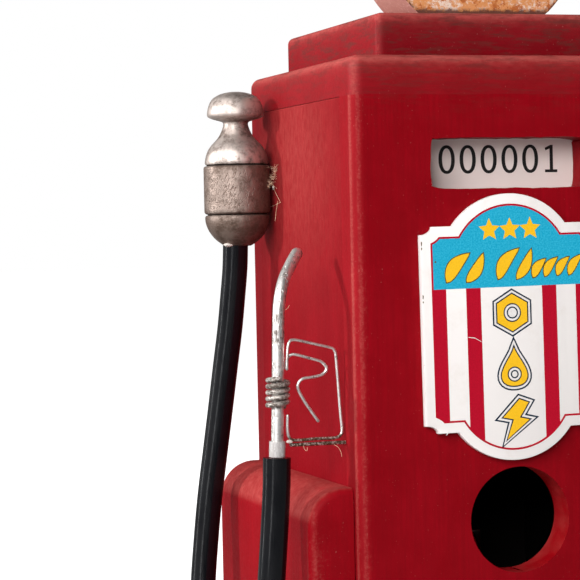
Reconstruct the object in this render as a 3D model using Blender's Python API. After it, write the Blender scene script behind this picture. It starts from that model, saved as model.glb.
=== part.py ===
"""A wooden bird house built and painted as an old petrol pump.

Metres, +Z up. The front faces -Y. The origin is under the middle of the
body, on the face that the base board stands on. Boards are glued and screwed,
so neighbours keep a hairline GAP between their faces.
"""

import math

import bmesh
import bpy
from mathutils import Matrix, Vector

MM = 0.001
GAP = 0.3 * MM
NEAR = 0.001 * MM

# Box body: front and back boards lap the ends of the side boards
BODY_W = 112 * MM
BODY_D = 116 * MM
BODY_CORNER_R = 4 * MM
FRONT_T = 12 * MM
SIDE_T = 10 * MM
FLOOR_T = 12 * MM
ROOF_T = 13 * MM
BASE_W = 160 * MM
BASE_D = 136 * MM
BASE_T = 16 * MM
BASE_EDGE_R = 5 * MM
ROOF_TOP = 265 * MM
CAP_W = 88 * MM
CAP_FRONT = -50 * MM
CAP_BACK = 48.5 * MM
CAP_T = 14 * MM
CAP_EDGE_R = 2.5 * MM

# Openings in the front board
ENTRY_R = 17.5 * MM
ENTRY_Z = 112 * MM
WINDOW_X = (-29.2 * MM, 26.7 * MM)
WINDOW_Z = (221.2 * MM, 237.9 * MM)
CARD_T = 1.0 * MM
CARD_MARGIN = 5 * MM
BACKER_T = 4 * MM
BACKER_MARGIN = 8 * MM

# Rounded blocks on both sides, under the nozzle
BLOCK_T = 15.2 * MM
BLOCK_FRONT = -53 * MM
BLOCK_BACK = 54 * MM
BLOCK_TOP = 124.8 * MM
BLOCK_SHOULDER_R = 12.5 * MM
BLOCK_EDGE_R = 2.5 * MM

# Sign board on the front, in its own flat frame
SIGN_X = -2.8 * MM
SIGN_Z = 175.7 * MM
SIGN_T = 2.7 * MM
SIGN_HALF_W = 31.2 * MM
SIGN_SHOULDER = 33.6 * MM
SIGN_APEX = 43.7 * MM
SIGN_DOME_HALF_W = 19.8 * MM
SIGN_NOTCH = (4.3 * MM, 2.6 * MM)
SIGN_TILT = math.radians(-0.75)

# Globe: a thick disc with a flat foot, on a dowel
GLOBE_R = 36.5 * MM
GLOBE_Z = 309.2 * MM
GLOBE_X = 3 * MM
GLOBE_FRONT = -26 * MM
GLOBE_T = 26 * MM
GLOBE_EDGE_R = 1.8 * MM
GLOBE_FOOT_HALF_W = 21 * MM
GLOBE_FOOT_CORNER = 3 * MM
DOWEL_R = 4 * MM

# Clean-out door in the back board, hung on two nails
DOOR_HALF_W = 27.2 * MM
DOOR_BOTTOM = 22.8 * MM
DOOR_T = 11.6 * MM
DOOR_PIVOT_Z = 88 * MM
DOOR_CLEAR = 0.8 * MM
NAIL_R = 1.2 * MM
NAIL_INNER_X = 17.5 * MM
BUTTON_X = 36.5 * MM
BUTTON_Z = 42 * MM
BUTTON_L = 28 * MM
BUTTON_W = 10 * MM
BUTTON_T = 5 * MM

# Screws
SCREW_R = 1.6 * MM
SCREW_CLEAR = 0.3 * MM
HEAD_R = 3.6 * MM
HEAD_T = 2.4 * MM

# Hose fitting: a turned wooden finial beside the left wall, radius and height in mm
FINIAL_X = -68.4 * MM
FINIAL_Y = 33.3 * MM
FINIAL_PROFILE = (
    (0, 258.4), (3.8, 258.0), (6.6, 257.0), (8.4, 255.8), (9.5, 254.0), (10.1, 252.0),
    (10.2, 250.6), (9.3, 249.6), (7.3, 248.9), (4.7, 248.2), (4.4, 247.4), (5.05, 245.3),
    (5.8, 243.5), (7.1, 241.7), (8.8, 240.0), (10.1, 238.2), (10.8, 236.4), (11.3, 234.2),
    (11.35, 233.2), (10.4, 232.6), (11.85, 232.0), (11.85, 215.6), (10.4, 215.0),
    (11.6, 214.3), (11.55, 212.9), (11.2, 211.3), (10.3, 209.2), (8.4, 206.6), (6.0, 204.6),
    (4.4, 203.6), (0, 203.6),
)

# Hose: from under the finial, round a low loop, up to the nozzle, in mm
HOSE_D = 9.1 * MM
HOSE_ROUTE = (
    (-69.4, 33.2, 203.3), (-69.7, 33.6, 196.0), (-70.5, 34.4, 186.0), (-71.6, 35.4, 174.0),
    (-73.4, 36.3, 160.0), (-75.3, 36.7, 146.0), (-77.5, 36.8, 131.0), (-80.0, 36.8, 114.0),
    (-81.8, 36.9, 98.0), (-83.5, 35.9, 82.0), (-84.9, 32.4, 64.0), (-86.0, 24.0, 47.0),
    (-86.6, 11.5, 36.2), (-86.8, -4.3, 32.4), (-86.5, -20.0, 36.4), (-85.8, -32.6, 47.4),
    (-84.7, -41.0, 64.0), (-83.4, -44.6, 82.0), (-82.1, -45.4, 98.0), (-80.7, -45.2, 114.0),
    (-79.8, -45.0, 126.0), (-79.5, -45.0, 135.2),
)
HOSE_STEP = 14 * MM

# Nozzle: rod, wound grip, guard, trigger and the pin that holds it, in mm
ROD_R = 2.0 * MM
ROD_ROUTE = (
    (-79.4, -45.0, 135.5), (-78.6, -45.0, 160.0), (-78.0, -45.0, 180.0), (-77.2, -44.5, 187.0),
    (-75.0, -42.3, 192.8), (-71.3, -38.6, 197.9), (-67.3, -34.6, 202.3),
)
SLEEVE_Z = (135.5 * MM, 140.4 * MM)
SLEEVE_R = (2.3 * MM, 2.65 * MM)
GRIP_WIRE_R = 0.87 * MM
GRIP_COIL_R = 3.18 * MM
GRIP_Z = (151.5 * MM, 161.0 * MM)
GRIP_TURNS = 4.7
GUARD_WIRE_R = 0.5 * MM
GUARD_ROUTE = (
    (-75.9, -46.2, 163.4), (-75.6, -46.2, 169.0), (-75.0, -46.0, 172.2), (-73.2, -45.8, 173.3),
    (-67.0, -45.4, 171.9), (-60.6, -45.0, 170.3), (-59.0, -45.0, 169.2), (-58.5, -45.0, 166.0),
    (-57.5, -45.0, 150.0), (-57.0, -45.0, 143.6), (-57.6, -45.0, 141.5), (-59.8, -45.0, 140.7),
    (-66.0, -45.0, 140.7), (-73.6, -45.2, 140.6), (-75.4, -45.4, 141.8), (-75.9, -45.6, 144.6),
    (-75.8, -45.8, 149.2),
)
TRIGGER_ROUTE = (
    (-75.6, -44.3, 163.6), (-75.3, -44.3, 166.4), (-74.2, -44.5, 168.2), (-72.4, -44.8, 168.4),
    (-67.4, -45.0, 167.0), (-63.6, -45.0, 165.7), (-61.9, -45.0, 163.5), (-63.4, -45.0, 161.6),
    (-66.6, -45.0, 160.9), (-70.2, -45.0, 160.4), (-71.8, -45.0, 158.7), (-71.4, -45.0, 156.2),
    (-68.6, -45.0, 151.4), (-64.9, -45.0, 146.1),
)
PIN_R = 0.6 * MM
PIN_Z = 139.1 * MM
PIN_Y = -45.2 * MM
PIN_X = (-75.2 * MM, -49 * MM)
WIRE_STEP = 1.6 * MM

WALL_BOTTOM = BASE_T + GAP
WALL_TOP = ROOF_TOP - ROOF_T - GAP
CAP_BOTTOM = ROOF_TOP + GAP
CAP_TOP = CAP_BOTTOM + CAP_T
BODY_FRONT = -BODY_D / 2
BODY_BACK = BODY_D / 2


def clear_scene():
    for thing in list(bpy.data.objects):
        bpy.data.objects.remove(thing)


def paint(name, colour, roughness, metallic=0.0):
    made = bpy.data.materials.get(name)
    if made is None:
        made = bpy.data.materials.new(name)
        made.use_nodes = True
        shader = made.node_tree.nodes["Principled BSDF"]
        shader.inputs["Base Color"].default_value = (*colour, 1.0)
        shader.inputs["Roughness"].default_value = roughness
        shader.inputs["Metallic"].default_value = metallic
    return made


def red_paint(name):
    return paint(name + "_paint", (0.42, 0.012, 0.02), 0.45)


def silver_paint(name):
    return paint(name + "_silver", (0.55, 0.53, 0.50), 0.4, 0.6)


def bare_wood(name):
    return paint(name + "_wood", (0.62, 0.45, 0.27), 0.7)


def cutter_grey():
    return paint("cutter", (0.5, 0.5, 0.5), 1.0)


def steel(name):
    return paint(name + "_steel", (0.45, 0.44, 0.42), 0.35, 0.9)


def add_object(name, data, material, location=(0, 0, 0)):
    thing = bpy.data.objects.new(name, data)
    thing.location = location
    data.materials.append(material)
    bpy.context.collection.objects.link(thing)
    return thing


def finish_mesh(name, bm, material, location=(0, 0, 0)):
    """Makes an object of a bmesh modelled round its own origin."""
    bmesh.ops.recalc_face_normals(bm, faces=bm.faces)
    mesh = bpy.data.meshes.new(name)
    bm.to_mesh(mesh)
    bm.free()
    return add_object(name, mesh, material, location)


def bevel(bm, edges, radius, segments):
    bmesh.ops.bevel(bm, geom=edges, offset=radius, segments=segments, profile=0.5, affect="EDGES")


def round_edges(bm, wanted, radius, segments=3):
    """Rounds every edge whose two ends both satisfy wanted(point)."""
    bevel(bm, [e for e in bm.edges if all(wanted(v.co) for v in e.verts)], radius, segments)


def upright_edges(bm, wanted=lambda p: True):
    """The edges that run up and down and whose two ends both satisfy wanted(point)."""
    return [
        e for e in bm.edges
        if abs(e.verts[0].co.z - e.verts[1].co.z) > MM and all(wanted(v.co) for v in e.verts)
    ]


def box_mesh(low, high):
    """A bmesh box about its own centre, and where that centre is."""
    size = [b - a for a, b in zip(low, high)]
    centre = Vector([(a + b) / 2 for a, b in zip(low, high)])
    bm = bmesh.new()
    bmesh.ops.create_cube(bm, size=1.0)
    bmesh.ops.scale(bm, vec=size, verts=bm.verts)
    return bm, centre


def board(name, low, high, material):
    """A plain board between two corners."""
    bm, centre = box_mesh(low, high)
    return finish_mesh(name, bm, material, centre)


def plate(name, outline, front, thickness, material, location, edge_r=0.0):
    """A flat plate: an outline of (x, z) points, extruded from its front face along +Y."""
    bm = bmesh.new()
    face = bm.faces.new([bm.verts.new((x, front, z)) for x, z in outline])
    grown = bmesh.ops.extrude_face_region(bm, geom=[face])
    moved = [g for g in grown["geom"] if isinstance(g, bmesh.types.BMVert)]
    bmesh.ops.translate(bm, vec=(0, thickness, 0), verts=moved)
    if edge_r:
        round_edges(bm, lambda p: abs(p.y - front) < NEAR, edge_r, 2)
        round_edges(bm, lambda p: abs(p.y - front - thickness) < NEAR, edge_r, 2)
    return finish_mesh(name, bm, material, location)


def arc(centre, radius, start, end, steps):
    """Points on a circle of the plane, from start to end in degrees."""
    angles = [math.radians(start + (end - start) * i / steps) for i in range(steps + 1)]
    return [(centre[0] + radius * math.cos(a), centre[1] + radius * math.sin(a)) for a in angles]


def cut(target, cutter):
    """Takes the cutter's shape out of the target."""
    cutter.hide_render = True
    cutter.display_type = "WIRE"
    hole = target.modifiers.new("cut_" + cutter.name, "BOOLEAN")
    hole.operation = "DIFFERENCE"
    hole.object = cutter


def rod_mesh(radius, start, end, sides):
    """A round bar's mesh between two points."""
    start, end = Vector(start), Vector(end)
    bm = bmesh.new()
    turn = (end - start).to_track_quat("Z", "Y").to_matrix().to_4x4()
    bmesh.ops.create_cone(
        bm, cap_ends=True, segments=sides, radius1=radius, radius2=radius,
        depth=(end - start).length, matrix=Matrix.Translation((start + end) / 2) @ turn,
    )
    return bm


def bore(target, name, radius, start, end, sides=16):
    """Drills a round hole in the target."""
    cut(target, finish_mesh(name, rod_mesh(radius, start, end, sides), cutter_grey()))


def turned(name, profile, steps, material, location=(0, 0, 0), turn=None):
    """A lathe-turned piece: a profile of (radius, height) in metres, from top to bottom."""
    mesh = bpy.data.meshes.new(name)
    points = [(r, 0, z) for r, z in profile]
    mesh.from_pydata(points, [(i, i + 1) for i in range(len(points) - 1)], [])
    thing = add_object(name, mesh, material, location)
    if turn is not None:
        thing.rotation_euler = turn
    spin = thing.modifiers.new("spin", "SCREW")
    spin.axis = "Z"
    spin.steps = steps
    spin.render_steps = steps
    spin.use_merge_vertices = True
    spin.merge_threshold = 0.00001
    spin.use_smooth_shade = True
    return thing


def smooth_route(points, step):
    """Points about step apart on a smooth curve through the route's points."""
    line = [Vector(p) for p in points]
    ends = [2 * line[0] - line[1]] + line + [2 * line[-1] - line[-2]]
    found = [line[0]]
    for a, b, c, d in zip(ends, ends[1:], ends[2:], ends[3:]):
        count = max(1, round((c - b).length / step))
        for i in range(1, count + 1):
            t = i / count
            found.append(
                0.5 * (2 * b + (c - a) * t + (2 * a - 5 * b + 4 * c - d) * t * t
                       + (3 * b - a - 3 * c + d) * t ** 3)
            )
    return found


def wire(name, points, radius, material, sides_level=2):
    """A round wire, rod or hose along points."""
    curve = bpy.data.curves.new(name, "CURVE")
    curve.dimensions = "3D"
    curve.bevel_depth = radius
    curve.bevel_resolution = sides_level
    curve.use_fill_caps = True
    line = curve.splines.new("POLY")
    line.points.add(len(points) - 1)
    for place, point in zip(line.points, points):
        place.co = (*point, 1.0)
    return add_object(name, curve, material)


def in_mm(points):
    return [Vector(p) * MM for p in points]


def screw(name, head, tip):
    """A round-headed screw from its head's outer face to its tip."""
    head, tip = Vector(head), Vector(tip)
    length = (tip - head).length
    profile = (
        (0, 0), (HEAD_R * 0.55, 0), (HEAD_R * 0.9, -HEAD_T * 0.35), (HEAD_R, -HEAD_T * 0.75),
        (HEAD_R, -HEAD_T), (SCREW_R, -HEAD_T), (SCREW_R, -length + 3 * SCREW_R), (0, -length),
    )
    turn = (head - tip).to_track_quat("Z", "Y").to_euler()
    return turned(name, profile, 16, steel(name), head, turn)


def drill_for(screw_start, screw_end, targets, label):
    """Clearance holes for one screw through its boards."""
    for target in targets:
        bore(target, label + "_hole_in_" + target.name, SCREW_R + SCREW_CLEAR, screw_start, screw_end, 12)


# ---------------------------------------------------------------- wooden box

def make_base():
    bm, centre = box_mesh((-BASE_W / 2, -BASE_D / 2, 0), (BASE_W / 2, BASE_D / 2, BASE_T))
    bevel(bm, upright_edges(bm), BASE_EDGE_R, 3)
    round_edges(bm, lambda p: p.z > BASE_T / 2 - NEAR, BASE_EDGE_R)
    return finish_mesh("base_board", bm, red_paint("base_board"), centre)


def upright_panel(name, outer_y, inner_y):
    """A front or back board, with its two outer upright edges rounded."""
    bm, centre = box_mesh(
        (-BODY_W / 2, min(outer_y, inner_y), WALL_BOTTOM), (BODY_W / 2, max(outer_y, inner_y), WALL_TOP)
    )
    outer = math.copysign(FRONT_T / 2, outer_y)
    bevel(bm, upright_edges(bm, lambda p: abs(p.y - outer) < NEAR), BODY_CORNER_R, 4)
    return finish_mesh(name, bm, red_paint(name), centre)


def make_front():
    panel = upright_panel("front_panel", BODY_FRONT, BODY_FRONT + FRONT_T)
    through = (BODY_FRONT - MM, BODY_FRONT + FRONT_T + MM)
    bore(panel, "entry_hole_cutter", ENTRY_R, (0, through[0], ENTRY_Z), (0, through[1], ENTRY_Z), 40)
    low = (WINDOW_X[0], through[0], WINDOW_Z[0])
    high = (WINDOW_X[1], through[1], WINDOW_Z[1])
    cut(panel, board("window_cutter", low, high, cutter_grey()))


def make_back():
    panel = upright_panel("back_panel", BODY_BACK, BODY_BACK - FRONT_T)
    low = (-DOOR_HALF_W - DOOR_CLEAR, BODY_BACK - FRONT_T - MM, DOOR_BOTTOM - DOOR_CLEAR)
    high = (DOOR_HALF_W + DOOR_CLEAR, BODY_BACK + MM, DOOR_PIVOT_Z + DOOR_T / 2 + DOOR_CLEAR)
    cut(panel, board("door_opening_cutter", low, high, cutter_grey()))
    reach = BODY_W / 2 + MM
    start, end = [(x, BODY_BACK - FRONT_T / 2, DOOR_PIVOT_Z) for x in (-reach, reach)]
    bore(panel, "nail_hole_cutter", NAIL_R + GAP, start, end)
    return panel


def make_sides():
    inner = BODY_W / 2 - SIDE_T
    low_y, high_y = BODY_FRONT + FRONT_T + GAP, BODY_BACK - FRONT_T - GAP
    left = board(
        "left_side_panel", (-BODY_W / 2, low_y, WALL_BOTTOM), (-inner, high_y, WALL_TOP),
        red_paint("left_side_panel"),
    )
    right = board(
        "right_side_panel", (inner, low_y, WALL_BOTTOM), (BODY_W / 2, high_y, WALL_TOP),
        red_paint("right_side_panel"),
    )
    return left, right


def make_floor():
    half_w = BODY_W / 2 - SIDE_T - GAP
    half_d = BODY_D / 2 - FRONT_T - GAP
    board("floor_panel", (-half_w, -half_d, WALL_BOTTOM), (half_w, half_d, WALL_BOTTOM + FLOOR_T),
          bare_wood("floor_panel"))


def make_roof():
    """The roof board lies on the walls, flush with them, its upper edges well rounded."""
    bm, centre = box_mesh((-BODY_W / 2, BODY_FRONT, ROOF_TOP - ROOF_T), (BODY_W / 2, BODY_BACK, ROOF_TOP))
    bevel(bm, upright_edges(bm), BODY_CORNER_R, 4)
    round_edges(bm, lambda p: p.z > ROOF_T / 2 - NEAR, BODY_CORNER_R * 0.95, 4)
    return finish_mesh("roof_board", bm, red_paint("roof_board"), centre)


def make_cap():
    bm, centre = box_mesh((-CAP_W / 2, CAP_FRONT, CAP_BOTTOM), (CAP_W / 2, CAP_BACK, CAP_TOP))
    bevel(bm, upright_edges(bm), CAP_EDGE_R, 3)
    round_edges(bm, lambda p: p.z > CAP_T / 2 - NEAR, CAP_EDGE_R * 0.95)
    return finish_mesh("cap_block", bm, red_paint("cap_block"), centre)


def make_side_block(name, side):
    """A side block: side is -1 for left. Its top outer edge is a big round, its other edges small ones."""
    inner, outer = BODY_W / 2 + GAP, BODY_W / 2 + GAP + BLOCK_T
    xs = sorted((side * inner, side * outer))
    bm, centre = box_mesh((xs[0], BLOCK_FRONT, WALL_BOTTOM), (xs[1], BLOCK_BACK, BLOCK_TOP))
    outer_x = side * BLOCK_T / 2
    top = (BLOCK_TOP - WALL_BOTTOM) / 2
    round_edges(bm, lambda p: abs(p.x - outer_x) < NEAR and abs(p.z - top) < NEAR, BLOCK_SHOULDER_R, 8)
    for end in (-1, 1):
        end_y = end * (BLOCK_BACK - BLOCK_FRONT) / 2
        rim = [
            e for e in bm.edges
            if all(abs(v.co.y - end_y) < NEAR for v in e.verts)
            and max(side * v.co.x for v in e.verts) > -BLOCK_T / 2 + NEAR
            and max(v.co.z for v in e.verts) > -top + NEAR
        ]
        bevel(bm, rim, BLOCK_EDGE_R, 3)
    return finish_mesh(name, bm, red_paint(name), centre)


# --------------------------------------------------------- window, sign, globe

def make_card():
    front = BODY_FRONT + FRONT_T + GAP
    margin = CARD_MARGIN
    board(
        "number_card", (WINDOW_X[0] - margin, front, WINDOW_Z[0] - margin),
        (WINDOW_X[1] + margin, front + CARD_T, WINDOW_Z[1] + margin), paint("card", (0.82, 0.79, 0.72), 0.8),
    )
    back = front + CARD_T + GAP
    margin = BACKER_MARGIN
    board(
        "card_backer", (WINDOW_X[0] - margin, back, WINDOW_Z[0] - margin),
        (WINDOW_X[1] + margin, back + BACKER_T, WINDOW_Z[1] + margin), bare_wood("card_backer"),
    )


def sign_quarter(steps):
    """The sign's upper right outline, from its right edge up and over to the dome's top."""
    notch_w, notch_h = SIGN_NOTCH
    edge_top = SIGN_SHOULDER - notch_h
    points = [(SIGN_HALF_W, edge_top)]
    for i in range(1, 5):
        a = math.radians(90 * i / 4)
        points.append((SIGN_HALF_W - notch_w * math.sin(a), SIGN_SHOULDER - notch_h * math.cos(a)))
    rise = SIGN_APEX - SIGN_SHOULDER
    dome_r = (SIGN_DOME_HALF_W ** 2 + rise ** 2) / (2 * rise)
    start = math.degrees(math.asin(SIGN_DOME_HALF_W / dome_r))
    points += arc((0, SIGN_APEX - dome_r), dome_r, 90 - start, 90, steps)
    return points


def make_sign():
    quarter = sign_quarter(8)
    top = quarter + [(-x, z) for x, z in reversed(quarter[:-1])]
    bottom = [(-x, -z) for x, z in top]
    place = (SIGN_X, BODY_FRONT - GAP - SIGN_T, SIGN_Z)
    sign = plate("sign_board", top + bottom, 0, SIGN_T, paint("sign", (0.86, 0.84, 0.80), 0.5), place)
    sign.rotation_euler = (0, SIGN_TILT, 0)
    return sign


def make_globe():
    foot = GLOBE_Z - CAP_TOP - GAP
    corner = math.degrees(math.acos((foot - GLOBE_FOOT_CORNER) / GLOBE_R))
    outline = arc((0, 0), GLOBE_R, -90 + corner, 270 - corner, 44)
    outline += [(-GLOBE_FOOT_HALF_W, -foot), (GLOBE_FOOT_HALF_W, -foot)]
    material = paint("globe_white", (0.78, 0.72, 0.64), 0.6)
    return plate("globe", outline, GLOBE_FRONT, GLOBE_T, material, (GLOBE_X, 0, GLOBE_Z), GLOBE_EDGE_R)


def join_globe_and_cap(globe, cap):
    """A dowel stands in both, in the middle of the globe's thickness."""
    y = GLOBE_FRONT + GLOBE_T / 2
    low, high = CAP_TOP - 9 * MM, CAP_TOP + 11 * MM
    bm = rod_mesh(DOWEL_R, (GLOBE_X, y, low), (GLOBE_X, y, high), 16)
    finish_mesh("globe_dowel", bm, bare_wood("globe_dowel"))
    for target in (globe, cap):
        bore(target, "dowel_hole_in_" + target.name, DOWEL_R + GAP,
             (GLOBE_X, y, low - GAP), (GLOBE_X, y, high + GAP), 16)


# ------------------------------------------------------------- hose and nozzle

def make_finial():
    profile = [(r * MM, z * MM) for r, z in FINIAL_PROFILE]
    return turned("hose_finial", profile, 28, silver_paint("hose_finial"), (FINIAL_X, FINIAL_Y, 0))


def make_hose():
    points = smooth_route(in_mm(HOSE_ROUTE), HOSE_STEP)
    shade = paint("hose_rubber", (0.012, 0.012, 0.013), 0.35)
    wire("hose", points, HOSE_D / 2, shade, 3)


def rod_at(height):
    """The rod's centre at a height in its straight lower part."""
    low, high = Vector(ROD_ROUTE[0]) * MM, Vector(ROD_ROUTE[1]) * MM
    return low.lerp(high, (height - low.z) / (high.z - low.z))


def make_rod():
    wire("nozzle_rod", smooth_route(in_mm(ROD_ROUTE), 4 * MM), ROD_R, silver_paint("nozzle_rod"), 3)


def make_sleeve():
    """A short clear tube round the foot of the rod."""
    inner, outer = SLEEVE_R
    low, high = SLEEVE_Z
    axis = rod_at(high) - rod_at(low)
    half = axis.length / 2
    profile = ((inner, half), (outer, half), (outer, -half), (inner, -half), (inner, half))
    turn = axis.to_track_quat("Z", "Y").to_euler()
    place = (rod_at(low) + rod_at(high)) / 2
    turned("clear_sleeve", profile, 20, paint("clear_sleeve", (0.85, 0.86, 0.85), 0.3), place, turn)


def make_grip():
    """The grip is a wire wound round the rod."""
    low, high = GRIP_Z
    per_turn = 20
    count = round(GRIP_TURNS * per_turn)
    points = []
    for i in range(count + 1):
        centre = rod_at(low + (high - low) * i / count)
        a = math.radians(20) + 2 * math.pi * i / per_turn
        points.append(centre + GRIP_COIL_R * Vector((math.cos(a), math.sin(a), 0)))
    wire("grip_coil", points, GRIP_WIRE_R, silver_paint("grip_coil"), 2)


def make_wires():
    for name, route in (("guard_wire", GUARD_ROUTE), ("trigger_wire", TRIGGER_ROUTE)):
        wire(name, smooth_route(in_mm(route), WIRE_STEP), GUARD_WIRE_R, silver_paint(name), 2)


def make_pin(left):
    """A headless pin driven into the left wall, under the guard."""
    start, end = (PIN_X[0], PIN_Y, PIN_Z), (PIN_X[1], PIN_Y, PIN_Z)
    finish_mesh("wall_pin", rod_mesh(PIN_R, start, end, 12), steel("wall_pin"))
    outside, past = (-BODY_W / 2 - MM, PIN_Y, PIN_Z), (PIN_X[1] + GAP, PIN_Y, PIN_Z)
    bore(left, "pin_hole_cutter", PIN_R + GAP, outside, past, 12)


# ------------------------------------------------------------- clean-out door

def make_door():
    """The door's origin is on its pivot; its top edge is half round about the same line."""
    half_t = DOOR_T / 2
    drop = DOOR_BOTTOM - DOOR_PIVOT_Z
    bm = bmesh.new()
    outline = [(-half_t, drop), (half_t, drop)] + arc((0, 0), half_t, 0, 180, 10)
    face = bm.faces.new([bm.verts.new((-DOOR_HALF_W, y, z)) for y, z in outline])
    grown = bmesh.ops.extrude_face_region(bm, geom=[face])
    moved = [g for g in grown["geom"] if isinstance(g, bmesh.types.BMVert)]
    bmesh.ops.translate(bm, vec=(2 * DOOR_HALF_W, 0, 0), verts=moved)
    pivot = (0, BODY_BACK - FRONT_T / 2, DOOR_PIVOT_Z)
    door = finish_mesh("clean_out_door", bm, red_paint("clean_out_door"), pivot)
    for side in (-1, 1):
        bore(door, "door_bore_%d" % side, NAIL_R + GAP,
             (side * (NAIL_INNER_X - GAP), pivot[1], pivot[2]),
             (side * (DOOR_HALF_W + MM), pivot[1], pivot[2]))
    return door


def make_door_nails():
    y, z = BODY_BACK - FRONT_T / 2, DOOR_PIVOT_Z
    for name, side in (("door_nail_left", -1), ("door_nail_right", 1)):
        bm = rod_mesh(NAIL_R, (side * NAIL_INNER_X, y, z), (side * (BODY_W / 2 - GAP), y, z), 16)
        finish_mesh(name, bm, steel(name))


def make_turn_button(back):
    """A rounded wooden bar that turns on one screw beside the door."""
    r = BUTTON_W / 2
    straight = BUTTON_L / 2 - r
    outline = arc((0, straight), r, 0, 180, 8) + arc((0, -straight), r, 180, 360, 8)
    place = (BUTTON_X, BODY_BACK + GAP, BUTTON_Z)
    button = plate("turn_button", outline, 0, BUTTON_T, bare_wood("turn_button"), place)
    head = (BUTTON_X, BODY_BACK + 2 * GAP + BUTTON_T + HEAD_T, BUTTON_Z)
    tip = (BUTTON_X, BODY_BACK - FRONT_T + 2 * MM, BUTTON_Z)
    screw("turn_button_screw", head, tip)
    past = (BUTTON_X, tip[1] - GAP, BUTTON_Z)
    drill_for(head, past, (button, back), "turn_button_screw")


# ------------------------------------------------------------------- fasteners

def make_base_screws(base, sides):
    """Two screws under each side wall, their heads sunk in the base board."""
    x = BODY_W / 2 - SIDE_T / 2
    sink = 1.0 * MM
    for side, panel in zip((-1, 1), sides):
        for end in (-1, 1):
            spot = (side * x, end * 30 * MM)
            name = "base_screw_%s_%s" % ("left" if side < 0 else "right", "front" if end < 0 else "back")
            head, tip = (*spot, sink), (*spot, 40 * MM)
            screw(name, head, tip)
            drill_for((*spot, -MM), (*spot, 40 * MM + GAP), (base, panel), name)
            bore(base, name + "_sink", HEAD_R + GAP, (*spot, -MM), (*spot, sink + HEAD_T + GAP), 20)


def make_block_screws(sides, blocks):
    """Two screws from inside the box into each side block."""
    inner = BODY_W / 2 - SIDE_T
    for side, panel, block in zip((-1, 1), sides, blocks):
        for label, z in (("upper", 100 * MM), ("lower", 45 * MM)):
            name = "%s_block_screw_%s" % ("left" if side < 0 else "right", label)
            head = (side * (inner - GAP - HEAD_T), 0, z)
            tip = (side * (BODY_W / 2 + BLOCK_T - 5 * MM), 0, z)
            screw(name, head, tip)
            past = (tip[0] + side * GAP, 0, z)
            drill_for(head, past, (panel, block), name)


def make_cap_screws(roof, cap):
    """Two screws from under the roof board into the cap block."""
    for name, x in (("cap_screw_left", -25 * MM), ("cap_screw_right", 25 * MM)):
        head = (x, 0, ROOF_TOP - ROOF_T - GAP - HEAD_T)
        tip = (x, 0, CAP_BOTTOM + 9 * MM)
        screw(name, head, tip)
        drill_for(head, (x, 0, tip[2] + GAP), (roof, cap), name)


def build():
    clear_scene()
    base = make_base()
    make_front()
    back = make_back()
    sides = make_sides()
    make_floor()
    roof = make_roof()
    cap = make_cap()
    blocks = make_side_block("left_side_block", -1), make_side_block("right_side_block", 1)
    make_card()
    make_sign()
    join_globe_and_cap(make_globe(), cap)
    make_finial()
    make_hose()
    make_rod()
    make_sleeve()
    make_grip()
    make_wires()
    make_pin(sides[0])
    make_door()
    make_door_nails()
    make_turn_button(back)
    make_base_screws(base, sides)
    make_block_screws(sides, blocks)
    make_cap_screws(roof, cap)


build()
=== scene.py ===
"""Looks for the wooden bird house painted as an old petrol pump.

Metres, +Z up, front facing -Y, in the CAD frame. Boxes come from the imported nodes.
"""

import math

import bmesh
import bpy
from mathutils import Matrix, Vector, noise


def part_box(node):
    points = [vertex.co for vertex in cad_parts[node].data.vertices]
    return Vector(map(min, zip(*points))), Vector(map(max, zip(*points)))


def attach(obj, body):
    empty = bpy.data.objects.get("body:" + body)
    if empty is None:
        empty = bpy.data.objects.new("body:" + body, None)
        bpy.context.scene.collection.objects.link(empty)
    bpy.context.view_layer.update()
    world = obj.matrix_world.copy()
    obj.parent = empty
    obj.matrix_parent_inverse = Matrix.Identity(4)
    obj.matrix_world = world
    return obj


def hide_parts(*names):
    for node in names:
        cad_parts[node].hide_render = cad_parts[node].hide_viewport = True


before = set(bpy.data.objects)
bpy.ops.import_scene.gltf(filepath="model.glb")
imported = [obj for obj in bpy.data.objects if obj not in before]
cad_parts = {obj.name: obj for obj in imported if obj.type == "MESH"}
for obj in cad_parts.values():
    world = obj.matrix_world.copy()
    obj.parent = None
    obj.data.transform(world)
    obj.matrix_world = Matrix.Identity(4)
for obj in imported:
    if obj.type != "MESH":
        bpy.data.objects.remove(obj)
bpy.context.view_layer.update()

MM = 0.001
PUMP = "pump_body"
SUNK = Vector((0, 0, 20 * MM))  # keeps edge wear off a board's lower edges
ALONG_X, ALONG_Y, ALONG_Z = (0.05, 1, 1), (1, 0.05, 1), (1, 1, 0.05)  # grain directions

# Box: corner and edge radii, openings and heights
CORNER_R = 4 * MM
ROOF_EDGE_R = 3.8 * MM
CAP_CORNER_R, CAP_EDGE_R = 2.5 * MM, 2.4 * MM
BASE_R = 5 * MM
SHOULDER_R, BLOCK_END_R = 12.5 * MM, 2.5 * MM
HOLE_R, HOLE_Z = 17.5 * MM, 112 * MM
CARD_LAP = 5 * MM  # how far the card reaches behind the front board round its window
DOOR_GAP = 0.8 * MM
GRIME_Z = (0.238, 0.268)  # grime is none at the first height and full at the second
BASE_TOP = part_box("base_board")[1].z
ROOF_FOOT, ROOF_TOP = (corner.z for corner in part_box("roof_board"))

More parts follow.
